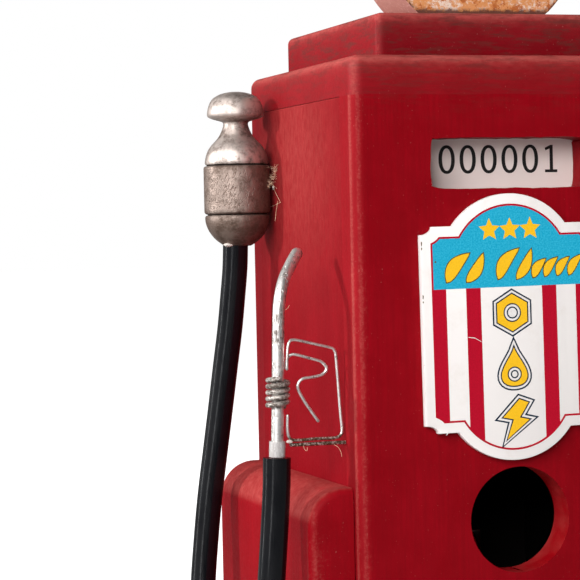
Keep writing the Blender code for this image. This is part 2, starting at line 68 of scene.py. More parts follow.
# Hose: the CAD route, in metres
HOSE_D = 0.0091
HOSE_ROUTE = (
    (-0.0694, 0.0332, 0.2050), (-0.0697, 0.0336, 0.1960), (-0.0705, 0.0344, 0.1860),
    (-0.0716, 0.0354, 0.1740), (-0.0734, 0.0363, 0.1600), (-0.0753, 0.0367, 0.1460),
    (-0.0775, 0.0368, 0.1310), (-0.0800, 0.0368, 0.1140), (-0.0818, 0.0369, 0.0980),
    (-0.0835, 0.0359, 0.0820), (-0.0849, 0.0324, 0.0640), (-0.0860, 0.0240, 0.0470),
    (-0.0866, 0.0115, 0.0362), (-0.0868, -0.0043, 0.0324), (-0.0865, -0.0200, 0.0364),
    (-0.0858, -0.0326, 0.0474), (-0.0847, -0.0410, 0.0640), (-0.0834, -0.0446, 0.0820),
    (-0.0821, -0.0454, 0.0980), (-0.0807, -0.0452, 0.1140), (-0.0798, -0.0450, 0.1260),
    (-0.0795, -0.0450, 0.1352),
)

# Nozzle wires: the CAD routes, in mm
ROD_R = 2.0 * MM
ROD_ROUTE = (
    (-79.4, -45.0, 135.5), (-78.6, -45.0, 160.0), (-78.0, -45.0, 180.0), (-77.2, -44.5, 187.0),
    (-75.0, -42.3, 192.8), (-71.3, -38.6, 197.9), (-67.3, -34.6, 202.3),
)
COIL_R = 3.18 * MM
COIL_WIRE_R = 0.87 * MM
COIL_TURNS = 4.7
THIN_WIRE_R = 0.5 * MM
GUARD_ROUTE = (
    (-75.9, -46.2, 163.4), (-75.6, -46.2, 169.0), (-75.0, -46.0, 172.2), (-73.2, -45.8, 173.3),
    (-67.0, -45.4, 171.9), (-60.6, -45.0, 170.3), (-59.0, -45.0, 169.2), (-58.5, -45.0, 166.0),
    (-57.5, -45.0, 150.0), (-57.0, -45.0, 143.6), (-57.6, -45.0, 141.5), (-59.8, -45.0, 140.7),
    (-66.0, -45.0, 140.7), (-73.6, -45.2, 140.6), (-75.4, -45.4, 141.8), (-75.9, -45.6, 144.6),
    (-75.8, -45.8, 149.2),
)
TRIGGER_ROUTE = (
    (-75.6, -44.3, 163.6), (-75.3, -44.3, 166.4), (-74.2, -44.5, 168.2), (-72.4, -44.8, 168.4),
    (-67.4, -45.0, 167.0), (-63.6, -45.0, 165.7), (-61.9, -45.0, 163.5), (-63.4, -45.0, 161.6),
    (-66.6, -45.0, 160.9), (-70.2, -45.0, 160.4), (-71.8, -45.0, 158.7), (-71.4, -45.0, 156.2),
    (-68.6, -45.0, 151.4), (-64.9, -45.0, 146.1),
)

# Turned finial: radius and height in mm, and the heights of its two cut grooves
FINIAL_GROOVES = (215.0, 232.6)
FINIAL_PROFILE = (
    (0, 258.9), (2.0, 258.8), (3.8, 258.5), (5.3, 258.1), (6.6, 257.5), (7.6, 256.9), (8.4, 256.2),
    (9.0, 255.3), (9.5, 254.2), (9.9, 253.0), (10.1, 251.9), (10.2, 250.9), (10.15, 250.4),
    (9.95, 250.0),
    (9.3, 249.6), (8.3, 249.2), (7.3, 248.9), (5.9, 248.5), (4.9, 248.2), (4.5, 247.8), (4.4, 247.3),
    (4.6, 246.4), (5.05, 245.1), (5.8, 243.5), (6.4, 242.6), (7.1, 241.7), (8.0, 240.8),
    (8.8, 240.0),
    (9.5, 239.1), (10.1, 238.2), (10.5, 237.3), (10.8, 236.4), (11.1, 235.3), (11.3, 234.2),
    (11.35, 233.4), (11.2, 233.0), (10.5, 232.6), (11.5, 232.3), (11.8, 231.9), (11.85, 231.4),
    (11.85, 216.3), (11.75, 215.8), (11.4, 215.4), (10.5, 215.0), (11.3, 214.7), (11.6, 214.2),
    (11.6, 213.4), (11.5, 212.5), (11.2, 211.3), (10.8, 210.2), (10.3, 209.2), (9.4, 207.8),
    (8.4, 206.6),
    (7.3, 205.6), (6.0, 204.6), (4.6, 203.8), (0, 203.6),
)

# Sign board, in mm about its middle
SIGN_TILT = math.radians(-0.75)
SIGN_HALF_W = 31.2
SIGN_SHOULDER = 33.6
SIGN_APEX = 43.7
SIGN_DOME_HALF_W = 19.8
SIGN_NOTCH = (4.3, 2.6)
SIGN_INKS = {  # colour, unevenness, second colour
    "white": ((0.80, 0.77, 0.75), 0.05),
    "red": ((0.47, 0.004, 0.022), 0.08),
    "turquoise": ((0.004, 0.33, 0.53), 0.1, (0.035, 0.44, 0.63)),
    "gold": ((0.93, 0.53, 0.018), 0.05),
    "navy": ((0.006, 0.020, 0.045), 0.1),
    "umber": ((0.10, 0.075, 0.02), 0.1),
}

# Camera
CAMERA_AT = (-0.2922, -0.74144, 0.20719)
CAMERA_TURN = (88.607, 1.2035, -17.436)
CAMERA_LENS = 139.626

# Light. Each lamp's place, size (a disc, or a strip's width and height), power and colour
WORLD_DIM, WORLD_BRIGHT = 0.05, 1.0
WORLD_BRIGHT_WAY = (-0.93, 0.05, 0.36)
WHITE, WARM, COOL = (1.0, 0.99, 0.985), (1.0, 0.985, 0.97), (0.97, 0.985, 1.0)
LIGHTS = {
    "key": ((-1.58, 0.40, 0.66), 0.11, 17.6, WARM),
    "fill": ((-1.05, -0.78, 0.90), 0.6, 12.4, WHITE),
    "front": ((-0.72, -1.30, 0.70), 0.7, 12.8, WHITE),
    "back": ((1.30, 1.10, 0.95), 0.8, 26.0, WHITE),
    "front_strip": ((-0.99, -0.82, 0.30), (0.13, 0.54), 1.3, COOL),
    "side_strip": ((-1.16, 0.46, 0.30), (0.10, 0.54), 1.2, COOL),
}
AIM = Vector((-0.03, 0.0, 0.18))


# ---- shader nodes

class Nodes:
    """A node tree, with short ways to add nodes to it."""

    def __init__(self, tree):
        self.tree = tree

    def node(self, kind, settings=None, **inputs):
        made = self.tree.nodes.new("ShaderNode" + kind)
        for key, value in (settings or {}).items():
            setattr(made, key, value)
        for key, value in inputs.items():
            self.feed(made.inputs[key], value)
        return made

    def feed(self, socket, value):
        if isinstance(value, bpy.types.NodeSocket):
            self.tree.links.new(value, socket)
        elif isinstance(value, tuple) and socket.type == "RGBA":
            socket.default_value = (*value, 1.0)
        else:
            socket.default_value = value

    def filled(self, made, values, first=0):
        """Feeds a node's inputs in turn, counted from first."""
        for i, value in enumerate(values, first):
            self.feed(made.inputs[i], value)
        return made

    def vector_math(self, operation, a, b):
        return self.filled(self.node("VectorMath", {"operation": operation}), (a, b))

    def math(self, operation, a, b, clamp=False):
        made = self.node("Math", {"operation": operation, "use_clamp": clamp})
        return self.filled(made, (a, b)).outputs[0]

    def plus(self, a, b, clamp=False):
        return self.math("ADD", a, b, clamp)

    def minus(self, a, b):
        return self.math("SUBTRACT", a, b)

    def times(self, a, b):
        return self.math("MULTIPLY", a, b)

    def remap(self, value, low, high, to_low=0.0, to_high=1.0):
        """Smoothly maps low..high to to_low..to_high, held beyond both."""
        made = self.node("MapRange", {"interpolation_type": "SMOOTHSTEP"})
        return self.filled(made, (value, low, high, to_low, to_high)).outputs["Result"]


class Surface(Nodes):
    """One material: a Principled shader and the nodes that feed it."""

    def __init__(self, name, **settings):
        self.material = bpy.data.materials.new(name)
        self.material.use_nodes = True
        super().__init__(self.material.node_tree)
        self.shader = self.tree.nodes["Principled BSDF"]
        self.place = self.node("TexCoord").outputs["Object"]
        for key, value in settings.items():
            self.set(key.replace("_", " "), value)

    def set(self, key, value):
        self.feed(self.shader.inputs[key], value)

    def stretched(self, x, y, z, place=None):
        """Scaled object coordinates: a texture is drawn out along an axis scaled below 1."""
        return self.vector_math("MULTIPLY", place or self.place, Vector((x, y, z))).outputs[0]

    def slanted(self, degrees, x, y, z):
        """Object coordinates turned about Y, then scaled."""
        turned = self.node("VectorRotate", {"rotation_type": "Y_AXIS"}, Vector=self.place,
                           Angle=math.radians(degrees))
        return self.stretched(x, y, z, turned.outputs[0])

    def noise(self, size, detail, roughness, place=None, distortion=0.0):
        """Grey noise whose lumps are about size across, in metres."""
        made = self.node("TexNoise", Scale=1 / size, Detail=detail, Roughness=roughness,
                         Distortion=distortion, Vector=place or self.place)
        return made.outputs["Fac"]

    def mix(self, share, a, b):
        made = self.node("Mix", {"data_type": "RGBA"})
        self.feed(made.inputs[0], share)
        return self.filled(made, (a, b), first=6).outputs[2]

    def attribute(self, name):
        return self.node("Attribute", {"attribute_name": name}).outputs["Fac"]

    def axis(self, name):
        return self.node("SeparateXYZ", Vector=self.place).outputs[name]

    def bump(self, height, distance, strength):
        made = self.node("Bump", Height=height, Distance=distance, Strength=strength)
        self.set("Normal", made.outputs["Normal"])

    def finish(self, colour, rough, bump=None):
        """Sets the colour, the roughness (remap's values) and any bump, and gives the material."""
        self.set("Base Color", colour)
        self.set("Roughness", self.remap(*rough))
        if bump:
            self.bump(*bump)
        return self.material


def red_paint(name, dust_and_sheen=0.0, grain=ALONG_Z, deep=1.0, sheen=0.1, rough=0.42, grime=0.0,
              grime_z=(0.0, 0.001)):
    """Satin red paint over wood: faint grain, mottling, pink rubbed edges and light specks; some of
    the pink edges are a painted highlight.
    dust_and_sheen is a pink haze, dusty on some pieces and painted light on the hole's wall; deep
    scales the red; pale streaks where painted_sheen is set are a painted sheen; and grime grows over
    the heights grime_z."""
    s = Surface(name, Specular_IOR_Level=sheen)
    mottle = s.noise(16 * MM, 4, 0.6)
    fibres = s.noise(1.1 * MM, 3, 0.6, s.stretched(*grain))
    speck = s.noise(0.9 * MM, 2, 0.7)
    red = s.mix(s.remap(mottle, 0.3, 0.7), (0.220 * deep, 0.0008, 0.0045),
                (0.265 * deep, 0.0016, 0.0068))
    red = s.mix(s.remap(fibres, 0.25, 0.75, 0.0, 0.55), red, (0.190 * deep, 0.0016, 0.005))
    # Pink where wear is set: rubbed paint, and on the front board's corners and the top edges of
    # roof and cap also a painted highlight.
    rubbed = s.plus(s.attribute("wear"), s.times(s.minus(speck, 0.5), 0.9))
    rubbed = s.plus(rubbed, s.times(s.minus(mottle, 0.5), 0.5))
    pink = s.remap(rubbed, 0.30, 1.15, 0.0, 0.62)
    haze = s.plus(pink, s.times(s.remap(mottle, 0.35, 0.75), dust_and_sheen), clamp=True)
    red = s.mix(haze, red, (0.37, 0.090, 0.076))
    # Painted sheen: pale pink streaks where painted_sheen is set.
    streaks = s.noise(1.7 * MM, 5, 0.65, s.stretched(*(max(0.4, g) for g in grain)))
    streaks = s.remap(streaks, 0.30, 0.70, 0.28, 0.72)
    red = s.mix(s.times(s.attribute("painted_sheen"), streaks), red, (0.39, 0.068, 0.060))
    scuffs = s.noise(2.2 * MM, 5, 0.75, distortion=1.5)
    red = s.mix(s.remap(scuffs, 0.70, 0.78, 0.0, 0.35), red, (0.42, 0.10, 0.09))
    flecks = s.noise(0.7 * MM, 1, 0.5)
    red = s.mix(s.remap(flecks, 0.74, 0.79, 0.0, 0.26), red, (0.5, 0.2, 0.18))
    dark = s.remap(s.noise(1.6 * MM, 3, 0.7, s.stretched(1, 1, 0.6)), 0.73, 0.80, 0.0, 0.4)
    red = s.mix(dark, red, (0.06, 0.012, 0.01))
    if grime:
        brown = s.noise(1.9 * MM, 5, 0.75, s.stretched(0.16, 0.16, 1.0), 0.3)
        reach = s.remap(s.axis("Z"), *grime_z, 0.0, grime)
        red = s.mix(s.times(s.remap(brown, 0.44, 0.66), reach), red, (0.085, 0.022, 0.018))
    dull = s.plus(speck, s.times(pink, 0.3))
    height = s.plus(s.times(fibres, 0.6), s.times(speck, 0.25))
    return s.finish(red, (dull, 0.2, 1.0, rough, rough + 0.16), (height, 0.09 * MM, 0.7))


def silver_paint(name, scratches=False, rust=None, wear_level=0.5, base=(0.80, 0.75, 0.71),
                 gloss=0.3, spread=0.12, brown=(0.085, 0.055, 0.04), along=1.0):
    """Silver paint, rubbed dark brown in specks. scratches adds a finial's streaks and its
    tarnishing, which is partly painted shade, painted reflection and painted highlight.
    """
    s = Surface(name, Metallic=0.88)
    blotch = s.noise(4.5 * MM, 5, 0.65)
    speck = s.noise(0.85 * MM, 4, 0.75, s.stretched(1, 1, along))
    cloudy = 0.72 if scratches else 0.45
    worn = s.plus(s.times(blotch, cloudy), s.times(speck, 1 - cloudy))
    if scratches:
        band, tarnish_and_shade = s.attribute("barrel"), s.attribute("tarnish_and_shade")
        worn = s.plus(worn, s.times(tarnish_and_shade, 0.05))
        worn = s.minus(worn, s.times(band, 0.06))
    worn = s.remap(worn, wear_level, wear_level + spread)
    colour = s.mix(s.remap(blotch, 0.3, 0.7), base, tuple(0.72 * c for c in base))
    if scratches:
        # Darker where tarnish_and_shade is set: tarnishing, with painted shade and painted
        # reflection.
        colour = s.mix(tarnish_and_shade, colour, (0.22, 0.16, 0.132))
    colour = s.mix(s.times(worn, 0.85), colour, brown)
    if scratches:
        streak = s.noise(0.45 * MM, 3, 0.65, s.slanted(-28, 1, 1, 0.15), 0.3)
        marks = s.times(s.remap(streak, 0.50, 0.68, 0.0, 0.8), band)
        colour = s.mix(s.times(marks, 0.75), colour, brown)
        colour = s.mix(s.attribute("groove"), colour, (0.012, 0.009, 0.008))
        worn = s.math("MAXIMUM", worn, marks)
    if rust:
        stain = s.times(s.attribute("rust"), s.remap(speck, 0.36, 0.52))
        colour = s.mix(stain, colour, rust)
        worn = s.math("MAXIMUM", worn, stain)
    height = s.minus(s.times(speck, 0.4), worn)
    return s.finish(colour, (worn, 0.0, 1.0, gloss, 0.65), (height, 0.12 * MM, 0.8))


def dark_inside(name):
    """Bare wood inside the nest box, near black: painted shade for the box's dark inside."""
    s = Surface(name, Specular_IOR_Level=0.1)
    grain = s.noise(1.2 * MM, 4, 0.6, s.stretched(1, 1, 0.06))
    return s.finish(s.mix(grain, (0.004, 0.003, 0.003), (0.010, 0.007, 0.006)),
                    (grain, 0.2, 0.8, 0.75, 0.9))


def rubber():
    """Black hose rubber with fine lines along it and a little dusting."""
    s = Surface("black_rubber", Specular_IOR_Level=0.22)
    lines = s.noise(0.5 * MM, 3, 0.6, s.stretched(1, 1, 0.08))
    cloud = s.noise(7 * MM, 3, 0.5)
    colour = s.mix(cloud, (0.002, 0.0024, 0.0036), (0.0045, 0.0048, 0.0062))
    dusting = s.remap(s.noise(1.2 * MM, 4, 0.7), 0.66, 0.8, 0, 0.12)
    return s.finish(s.mix(dusting, colour, (0.09, 0.085, 0.085)),
                    (lines, 0.2, 0.8, 0.13, 0.24), (lines, 0.03 * MM, 0.5))


def bare_wood(name, along=ALONG_Z):
    s = Surface(name, Specular_IOR_Level=0.25)
    grain = s.noise(1.3 * MM, 5, 0.6, s.stretched(*along), 0.4)
    rings = s.noise(9 * MM, 2, 0.5, s.stretched(*along), 1.0)
    wood = s.mix(s.remap(grain, 0.3, 0.7), (0.60, 0.41, 0.23), (0.46, 0.28, 0.14))
    wood = s.mix(s.remap(rings, 0.45, 0.62, 0.0, 0.45), wood, (0.36, 0.19, 0.085))
    return s.finish(wood, (grain, 0.2, 0.8, 0.62, 0.78), (grain, 0.15 * MM, 0.6))


def card_paper():
    s = Surface("card_paper", Specular_IOR_Level=0.2)
    fibre = s.noise(0.35 * MM, 3, 0.6)
    cloud = s.noise(12 * MM, 3, 0.5)
    return s.finish(s.mix(cloud, (0.72, 0.635, 0.60), (0.80, 0.72, 0.685)),
                    (fibre, 0, 1, 0.7, 0.9), (fibre, 0.02 * MM, 0.4))


def print_ink(name, colour, grain, other=None):
    """Printed colour on the sign's enamel, a little uneven."""
    s = Surface(name, Specular_IOR_Level=0.1)
    dots = s.noise(0.55 * MM, 3, 0.7)
    cloud = s.noise(8 * MM, 4, 0.6)
    other = other or tuple(c * (1 - 2.2 * grain) for c in colour)
    inked = s.mix(s.remap(dots, 0.35, 0.68), colour, other)
    return s.finish(s.mix(s.remap(cloud, 0.3, 0.8, 0.0, grain), inked, other),
                    (dots, 0.2, 0.8, 0.42, 0.52), (dots, 0.015 * MM, 0.5))


def enamel_white():
    """The sign board's white face, with faint stains and dark nicks at its rim."""
    s = Surface("sign_white", Specular_IOR_Level=0.2)
    cloud = s.noise(9 * MM, 5, 0.65)
    nick = s.noise(1.0 * MM, 4, 0.75, s.stretched(1, 1, 0.5))
    white = s.mix(s.remap(cloud, 0.5, 0.8, 0.0, 0.6), (0.86, 0.82, 0.80), (0.76, 0.70, 0.655))
    marks = s.times(s.remap(nick, 0.66, 0.70), s.attribute("wear"))
    return s.finish(s.mix(marks, white, (0.05, 0.04, 0.035)),
                    (cloud, 0.2, 0.8, 0.40, 0.52), (cloud, 0.05 * MM, 0.4))


def rusty_white(foot):
    """The globe's white face, rusted orange and brown, darkest at its rim and foot; the dark band at
    the foot is painted shade.
    """
    s = Surface("rusty_white", Specular_IOR_Level=0.3)
    cloud = s.noise(11 * MM, 5, 0.65)
    speck = s.noise(2.0 * MM, 5, 0.8)
    fine = s.noise(0.8 * MM, 3, 0.7)
    base = s.mix(cloud, (0.82, 0.72, 0.62), (0.70, 0.52, 0.42))
    rust = s.plus(s.times(speck, 0.6), s.times(cloud, 0.4))
    base = s.mix(s.remap(rust, 0.43, 0.52, 0.0, 0.92), base, (0.64, 0.25, 0.065))
    deep = s.noise(3.6 * MM, 5, 0.75)
    base = s.mix(s.remap(deep, 0.52, 0.60, 0.0, 0.9), base, (0.42, 0.105, 0.018))
    base = s.mix(s.remap(fine, 0.62, 0.72, 0.0, 0.7), base, (0.30, 0.11, 0.04))
    # Darker in a band just above the foot, where the face curves under onto the cap: painted shade.
    low_down = s.plus(s.axis("Z"), s.times(s.minus(speck, 0.5), 5 * MM))
    foot_shade = s.remap(low_down, foot + 2.5 * MM, foot + 3.9 * MM, 0.95, 0.0)
    base = s.mix(foot_shade, base, (0.10, 0.03, 0.02))
    rim = s.attribute("wear")
    base = s.mix(s.times(rim, s.remap(fine, 0.3, 0.6)), base, (0.10, 0.035, 0.025))
    return s.finish(base, (speck, 0.2, 0.8, 0.5, 0.75), (rust, 0.2 * MM, 0.6))


def globe_rim():
    s = Surface("globe_rim_paint", Specular_IOR_Level=0.3)
    cloud = s.noise(9 * MM, 5, 0.7)
    speck = s.noise(1.2 * MM, 4, 0.7)
    base = s.mix(cloud, (0.50, 0.25, 0.21), (0.40, 0.19, 0.155))
    base = s.mix(s.remap(speck, 0.5, 0.72, 0.0, 0.6), base, (0.66, 0.44, 0.38))
    return s.finish(base, (speck, 0.2, 0.8, 0.5, 0.7), (speck, 0.12 * MM, 0.6))


def screw_steel(name, light, dark):
    s = Surface(name, Metallic=0.95)
    cloud = s.noise(1.2 * MM, 4, 0.7)
    return s.finish(s.mix(cloud, light, dark), (cloud, 0.2, 0.8, 0.3, 0.5), (cloud, 0.03 * MM, 0.5))


def black_ink():
    s = Surface("black_ink", Specular_IOR_Level=0.3)
    fibre = s.noise(0.3 * MM, 3, 0.6)
    return s.finish(s.mix(fibre, (0.003, 0.003, 0.003), (0.010, 0.009, 0.009)),
                    (fibre, 0, 1, 0.5, 0.7))


def glue(name, colour, alpha):
    s = Surface(name, Roughness=0.3, Alpha=alpha)
    cloud = s.noise(1.0 * MM, 3, 0.6)
    s.set("Base Color", s.mix(cloud, colour, tuple(c * 0.8 for c in colour)))
    return s.material


def milky_sleeve():
    s = Surface("milky_plastic", Transmission_Weight=0.35, IOR=1.45)
    cloud = s.noise(0.9 * MM, 4, 0.7, s.stretched(1, 1, 0.2))
    return s.finish(s.mix(s.remap(cloud, 0.35, 0.65), (0.70, 0.675, 0.665), (0.52, 0.48, 0.47)),
                    (cloud, 0.2, 0.8, 0.22, 0.4))


# ---- mesh helpers

def add(name, data):
    """A new object in the scene."""
    thing = bpy.data.objects.new(name, data)
    bpy.context.collection.objects.link(thing)
    return thing


def new_piece(name, data, material, body=PUMP, stands_for=()):
    """Adds a piece, rides it on its body and hides the CAD nodes it stands for."""
    thing = add(name, data)
    for item in material if isinstance(material, (list, tuple)) else [material]:
        data.materials.append(item)
    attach(thing, body)
    if stands_for:
        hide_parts(*stands_for)
    return thing


def split_faces(mesh, pick):
    """Gives each face the material whose number pick returns for its centre and normal."""
    for face in mesh.polygons:
        face.material_index = int(pick(face.center, face.normal))


def mesh_of(bm, name, sharp=35):
    bmesh.ops.recalc_face_normals(bm, faces=bm.faces)
    mesh = bpy.data.meshes.new(name)
    bm.to_mesh(mesh)
    bm.free()
    mesh.shade_smooth()
    mesh.set_sharp_from_angle(angle=math.radians(sharp))
    return mesh


def cuts(low, high, radius, step):
    """Where to slice a board along one axis: close together near both ends, then every step."""
    near = [radius, radius + 1.2 * MM, radius + 3 * MM, radius + 6 * MM]
    places = [low + d for d in near] + [high - d for d in near]
    inner_low, inner_high = low + near[-1], high - near[-1]
    count = max(1, round((inner_high - inner_low) / step))
    places += [inner_low + (inner_high - inner_low) * i / count for i in range(1, count)]
    return sorted(p for p in places if low + 0.3 * MM < p < high - 0.3 * MM)


def slice_mesh(bm, axis, places):
    normal = [0.0, 0.0, 0.0]
    normal["xyz".index(axis)] = 1.0
    for place in places:
        point = [n * place for n in normal]
        bmesh.ops.bisect_plane(bm, geom=bm.verts[:] + bm.edges[:] + bm.faces[:], plane_co=point,
                               plane_no=normal, dist=1e-7)


def soften(bm, edges, radius, segments):
    """Rounds edges off."""
    bmesh.ops.bevel(bm, geom=edges, offset=radius, segments=segments, profile=0.5, affect="EDGES")


def board(low, high, rounds, step):
    """A board's bmesh, sliced so that wear can vary. rounds: (edge test, radius, segments)."""
    size = [b - a for a, b in zip(low, high)]
    centre = Vector([(a + b) / 2 for a, b in zip(low, high)])
    bm = bmesh.new()
    bmesh.ops.create_cube(bm, size=1.0)
    bmesh.ops.scale(bm, vec=size, verts=bm.verts)
    bmesh.ops.translate(bm, vec=centre, verts=bm.verts)
    for wanted, radius, segments in rounds:
        soften(bm, [e for e in bm.edges if wanted(*(v.co for v in e.verts))], radius, segments)
    biggest = max([radius for _, radius, _ in rounds], default=0)
    for i, axis in enumerate("xyz"):
        slice_mesh(bm, axis, cuts(low[i], high[i], biggest, step))
    return bm


def upright(a, b):
    return abs(a.z - b.z) > 1 * MM and (a - b).xy.length < 0.01 * MM


def upright_at(y):
    return lambda a, b: upright(a, b) and abs(a.y - y) < 0.01 * MM


def at_height(z):
    return lambda a, b: abs(a.z - z) < 0.01 * MM and abs(b.z - z) < 0.01 * MM


def smooth_step(value):
    value = min(1.0, max(0.0, value))
    return value * value * (3 - 2 * value)


def bell(value, middle, width):
    """1 at middle, falling away smoothly over width on both sides."""
    return math.exp(-((value - middle) / width) ** 2)


def store(mesh, name, value_at):
    """Stores a number at every vertex, worked out from its place."""
    layer = mesh.attributes.new(name, "FLOAT", "POINT")
    layer.data.foreach_set("value", [value_at(v.co) for v in mesh.vertices])


def edge_wear(mesh, low, high, reach, planes="xyz", most=1.0, top_sheen=0.0):
    """Stores wear, which is most at the box's edges and 0 at reach from them, and painted_sheen, a
    painted highlight which falls from top_sheen at the top. planes names the axes whose faces make
    an edge."""
    def wear(p):
        gaps = sorted(max(0.0, min(p[i] - low[i], high[i] - p[i]))
                      for i, axis in enumerate("xyz") if axis in planes)
        # Top edges get the most: rubbed paint, which on the roof and cap is also a painted
        # highlight.
        peak = 1.0 if "z" in planes and high.z - p.z < reach else most
        return peak * (1 - smooth_step(gaps[1] / reach))

    store(mesh, "wear", wear)
    # Painted highlight along the top edge, with a faint wider band below it.
    store(mesh, "painted_sheen", lambda p: top_sheen * (bell(p.z, high.z, 2.4 * MM)
                                              + 0.2 * bell(p.z, high.z, 7 * MM)))


def cut_hole(thing, cutter_mesh):
    """Cuts the cutter's shape out of a piece, for good."""
    cutter = add("cutter", cutter_mesh)
    hole = thing.modifiers.new("hole", "BOOLEAN")
    hole.operation = "DIFFERENCE"
    hole.solver = "EXACT"
    hole.object = cutter
    shown = thing.evaluated_get(bpy.context.evaluated_depsgraph_get())
    thing.data = bpy.data.meshes.new_from_object(shown)
    thing.modifiers.clear()
    bpy.data.objects.remove(cutter)
    thing.data.set_sharp_from_angle(angle=math.radians(35))
    return thing.data


def prism(outline, start, end, axis="y"):
    """A bmesh: an outline of (x, z) points pushed along y, or of (y, z) points along x."""
    along_y = axis == "y"
    bm = bmesh.new()
    face = bm.faces.new([bm.verts.new((a, start, b) if along_y else (start, a, b))
                         for a, b in outline])
    pushed = bmesh.ops.extrude_face_region(bm, geom=[face])["geom"]
    bmesh.ops.translate(bm, vec=(0, end - start, 0) if along_y else (end - start, 0, 0),
                        verts=[g for g in pushed if isinstance(g, bmesh.types.BMVert)])
    return bm


def polygon(centre, radius, sides, turn=0.0):
    """The corners of a regular polygon; with many sides it is a circle."""
    angles = [math.radians(turn + 360 * i / sides) for i in range(sides)]
    return [(centre[0] + radius * math.cos(a), centre[1] + radius * math.sin(a)) for a in angles]


def ring(bm, centre, across, up, radius, sides):
    """Vertices round a circle; across and up are unit vectors in its plane."""
    if radius < 0.01 * MM:
        return [bm.verts.new(centre)]
    return [bm.verts.new(centre + radius * (math.cos(a) * across + math.sin(a) * up))
            for a in (2 * math.pi * k / sides for k in range(sides))]


def skin(bm, rings):
    """Joins each ring of vertices to the next with faces; a ring of one vertex is a point."""
    for a, b in zip(rings, rings[1:]):
        for k in range(max(len(a), len(b))):
            corners = (a[k % len(a)], a[(k + 1) % len(a)], b[(k + 1) % len(b)], b[k % len(b)])
            bm.faces.new(list(dict.fromkeys(corners)))


def smooth_route(points, step):
    """Points about step apart on a smooth curve through the route's points."""
    line = [Vector(p) for p in points]
    ends = [2 * line[0] - line[1]] + line + [2 * line[-1] - line[-2]]
    found = [line[0]]
    for a, b, c, d in zip(ends, ends[1:], ends[2:], ends[3:]):
        count = max(1, round((c - b).length / step))
        for i in range(1, count + 1):
            t = i / count
            found.append(0.5 * (2 * b + (c - a) * t + (2 * a - 5 * b + 4 * c - d) * t * t
                                + (3 * b - a - 3 * c + d) * t ** 3))
    return found


def in_mm(points):
    """Points given in mm, as vectors in metres."""
    return [Vector(p) * MM for p in points]


def tube(name, points, radii, sides):
    """A closed tube mesh along points; radii is one number or one per point."""
    if not isinstance(radii, (list, tuple)):
        radii = [radii] * len(points)
    bm = bmesh.new()
    rings = []
    normal = (points[1] - points[0]).normalized().orthogonal()
    for i, point in enumerate(points):
        ahead = points[min(i + 1, len(points) - 1)] - points[max(i - 1, 0)]
        ahead.normalize()
        normal = (normal - ahead * normal.dot(ahead)).normalized()
        rings.append(ring(bm, point, normal, ahead.cross(normal), radii[i], sides))
    skin(bm, rings)
    bm.faces.new(rings[0][::-1])
    bm.faces.new(rings[-1])
    return mesh_of(bm, name, 50)


def domed(points, radius, steps=6):
    """A tube's points and radii, with both ends rounded off inside its length."""
    start, end = points[0], points[-1]
    angles = [math.pi / 2 * (1 - (i + 0.15) / steps) for i in range(steps)]
    head, tail = ([(tip + (inner - tip).normalized() * radius * (1 - math.sin(a)),
                    radius * math.cos(a)) for a in angles]
                  for tip, inner in ((start, points[1]), (end, points[-2])))
    middle = [(p, radius) for p in points if min((p - start).length, (p - end).length) > radius]
    return zip(*(head + middle + tail[::-1]))


# ---- camera, hose

def make_camera():
    data = bpy.data.cameras.new("camera")
    data.lens = CAMERA_LENS
    data.sensor_width = 36
    data.clip_start = 0.01
    camera = add("camera", data)
    camera.location = CAMERA_AT
    camera.rotation_euler = [math.radians(a) for a in CAMERA_TURN]
    bpy.context.scene.camera = camera


def make_hose():
    points = smooth_route(HOSE_ROUTE, 2.5 * MM)
    curve = bpy.data.curves.new("hose_tube", "CURVE")
    curve.dimensions = "3D"
    curve.bevel_depth = HOSE_D / 2
    curve.bevel_resolution = 7
    curve.use_fill_caps = True
    line = curve.splines.new("POLY")
    line.points.add(len(points) - 1)
    for place, point in zip(line.points, points):
        place.co = (*point, 1.0)
    line.use_smooth = True
    hose = new_piece("hose_tube", curve, rubber(), stands_for=["hose"])


# ---- wooden box

def make_front_board():
    low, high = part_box("front_panel")
    low.z, high.z = BASE_TOP, ROOF_FOOT
    bm = board(low, high, [(upright_at(low.y), CORNER_R, 8)], 6 * MM)
    slice_mesh(bm, "x", [x * MM for x in range(-24, 25, 3)])
    slice_mesh(bm, "z", [HOLE_Z + z * MM for z in range(-24, 25, 3)])
    paints = [red_paint("front_red", sheen=0.06, grime=0.5, grime_z=GRIME_Z),
              red_paint("front_side_red", sheen=0.09, rough=0.56),
              # The hole's inner wall: a lighter, pinker copy of the red, painted light.
              red_paint("hole_wall_lit_red", dust_and_sheen=0.35, grain=ALONG_Y, deep=1.35)]
    thing = new_piece("front_board", mesh_of(bm, "front_board"), paints,
                      stands_for=["front_panel"])
    for name, outline in (("hole_cutter", polygon((0, HOLE_Z), HOLE_R, 72)),
                          ("window_cutter", window_outline())):
        mesh = cut_hole(thing, mesh_of(prism(outline, low.y - MM, high.y + MM), name))

    def paint_for(centre, normal):
        if abs(normal.x) > 0.6 and min(centre.x - low.x, high.x - centre.x) < CORNER_R:
            return 1
        # The hole's inner wall takes the lighter red, painted light.
        in_hole = math.hypot(centre.x, centre.z - HOLE_Z) < HOLE_R + 0.5 * MM
        return 2 if in_hole and abs(normal.y) < 0.5 else 0

    split_faces(mesh, paint_for)
    corner_wear_and_highlight(mesh, low, high)


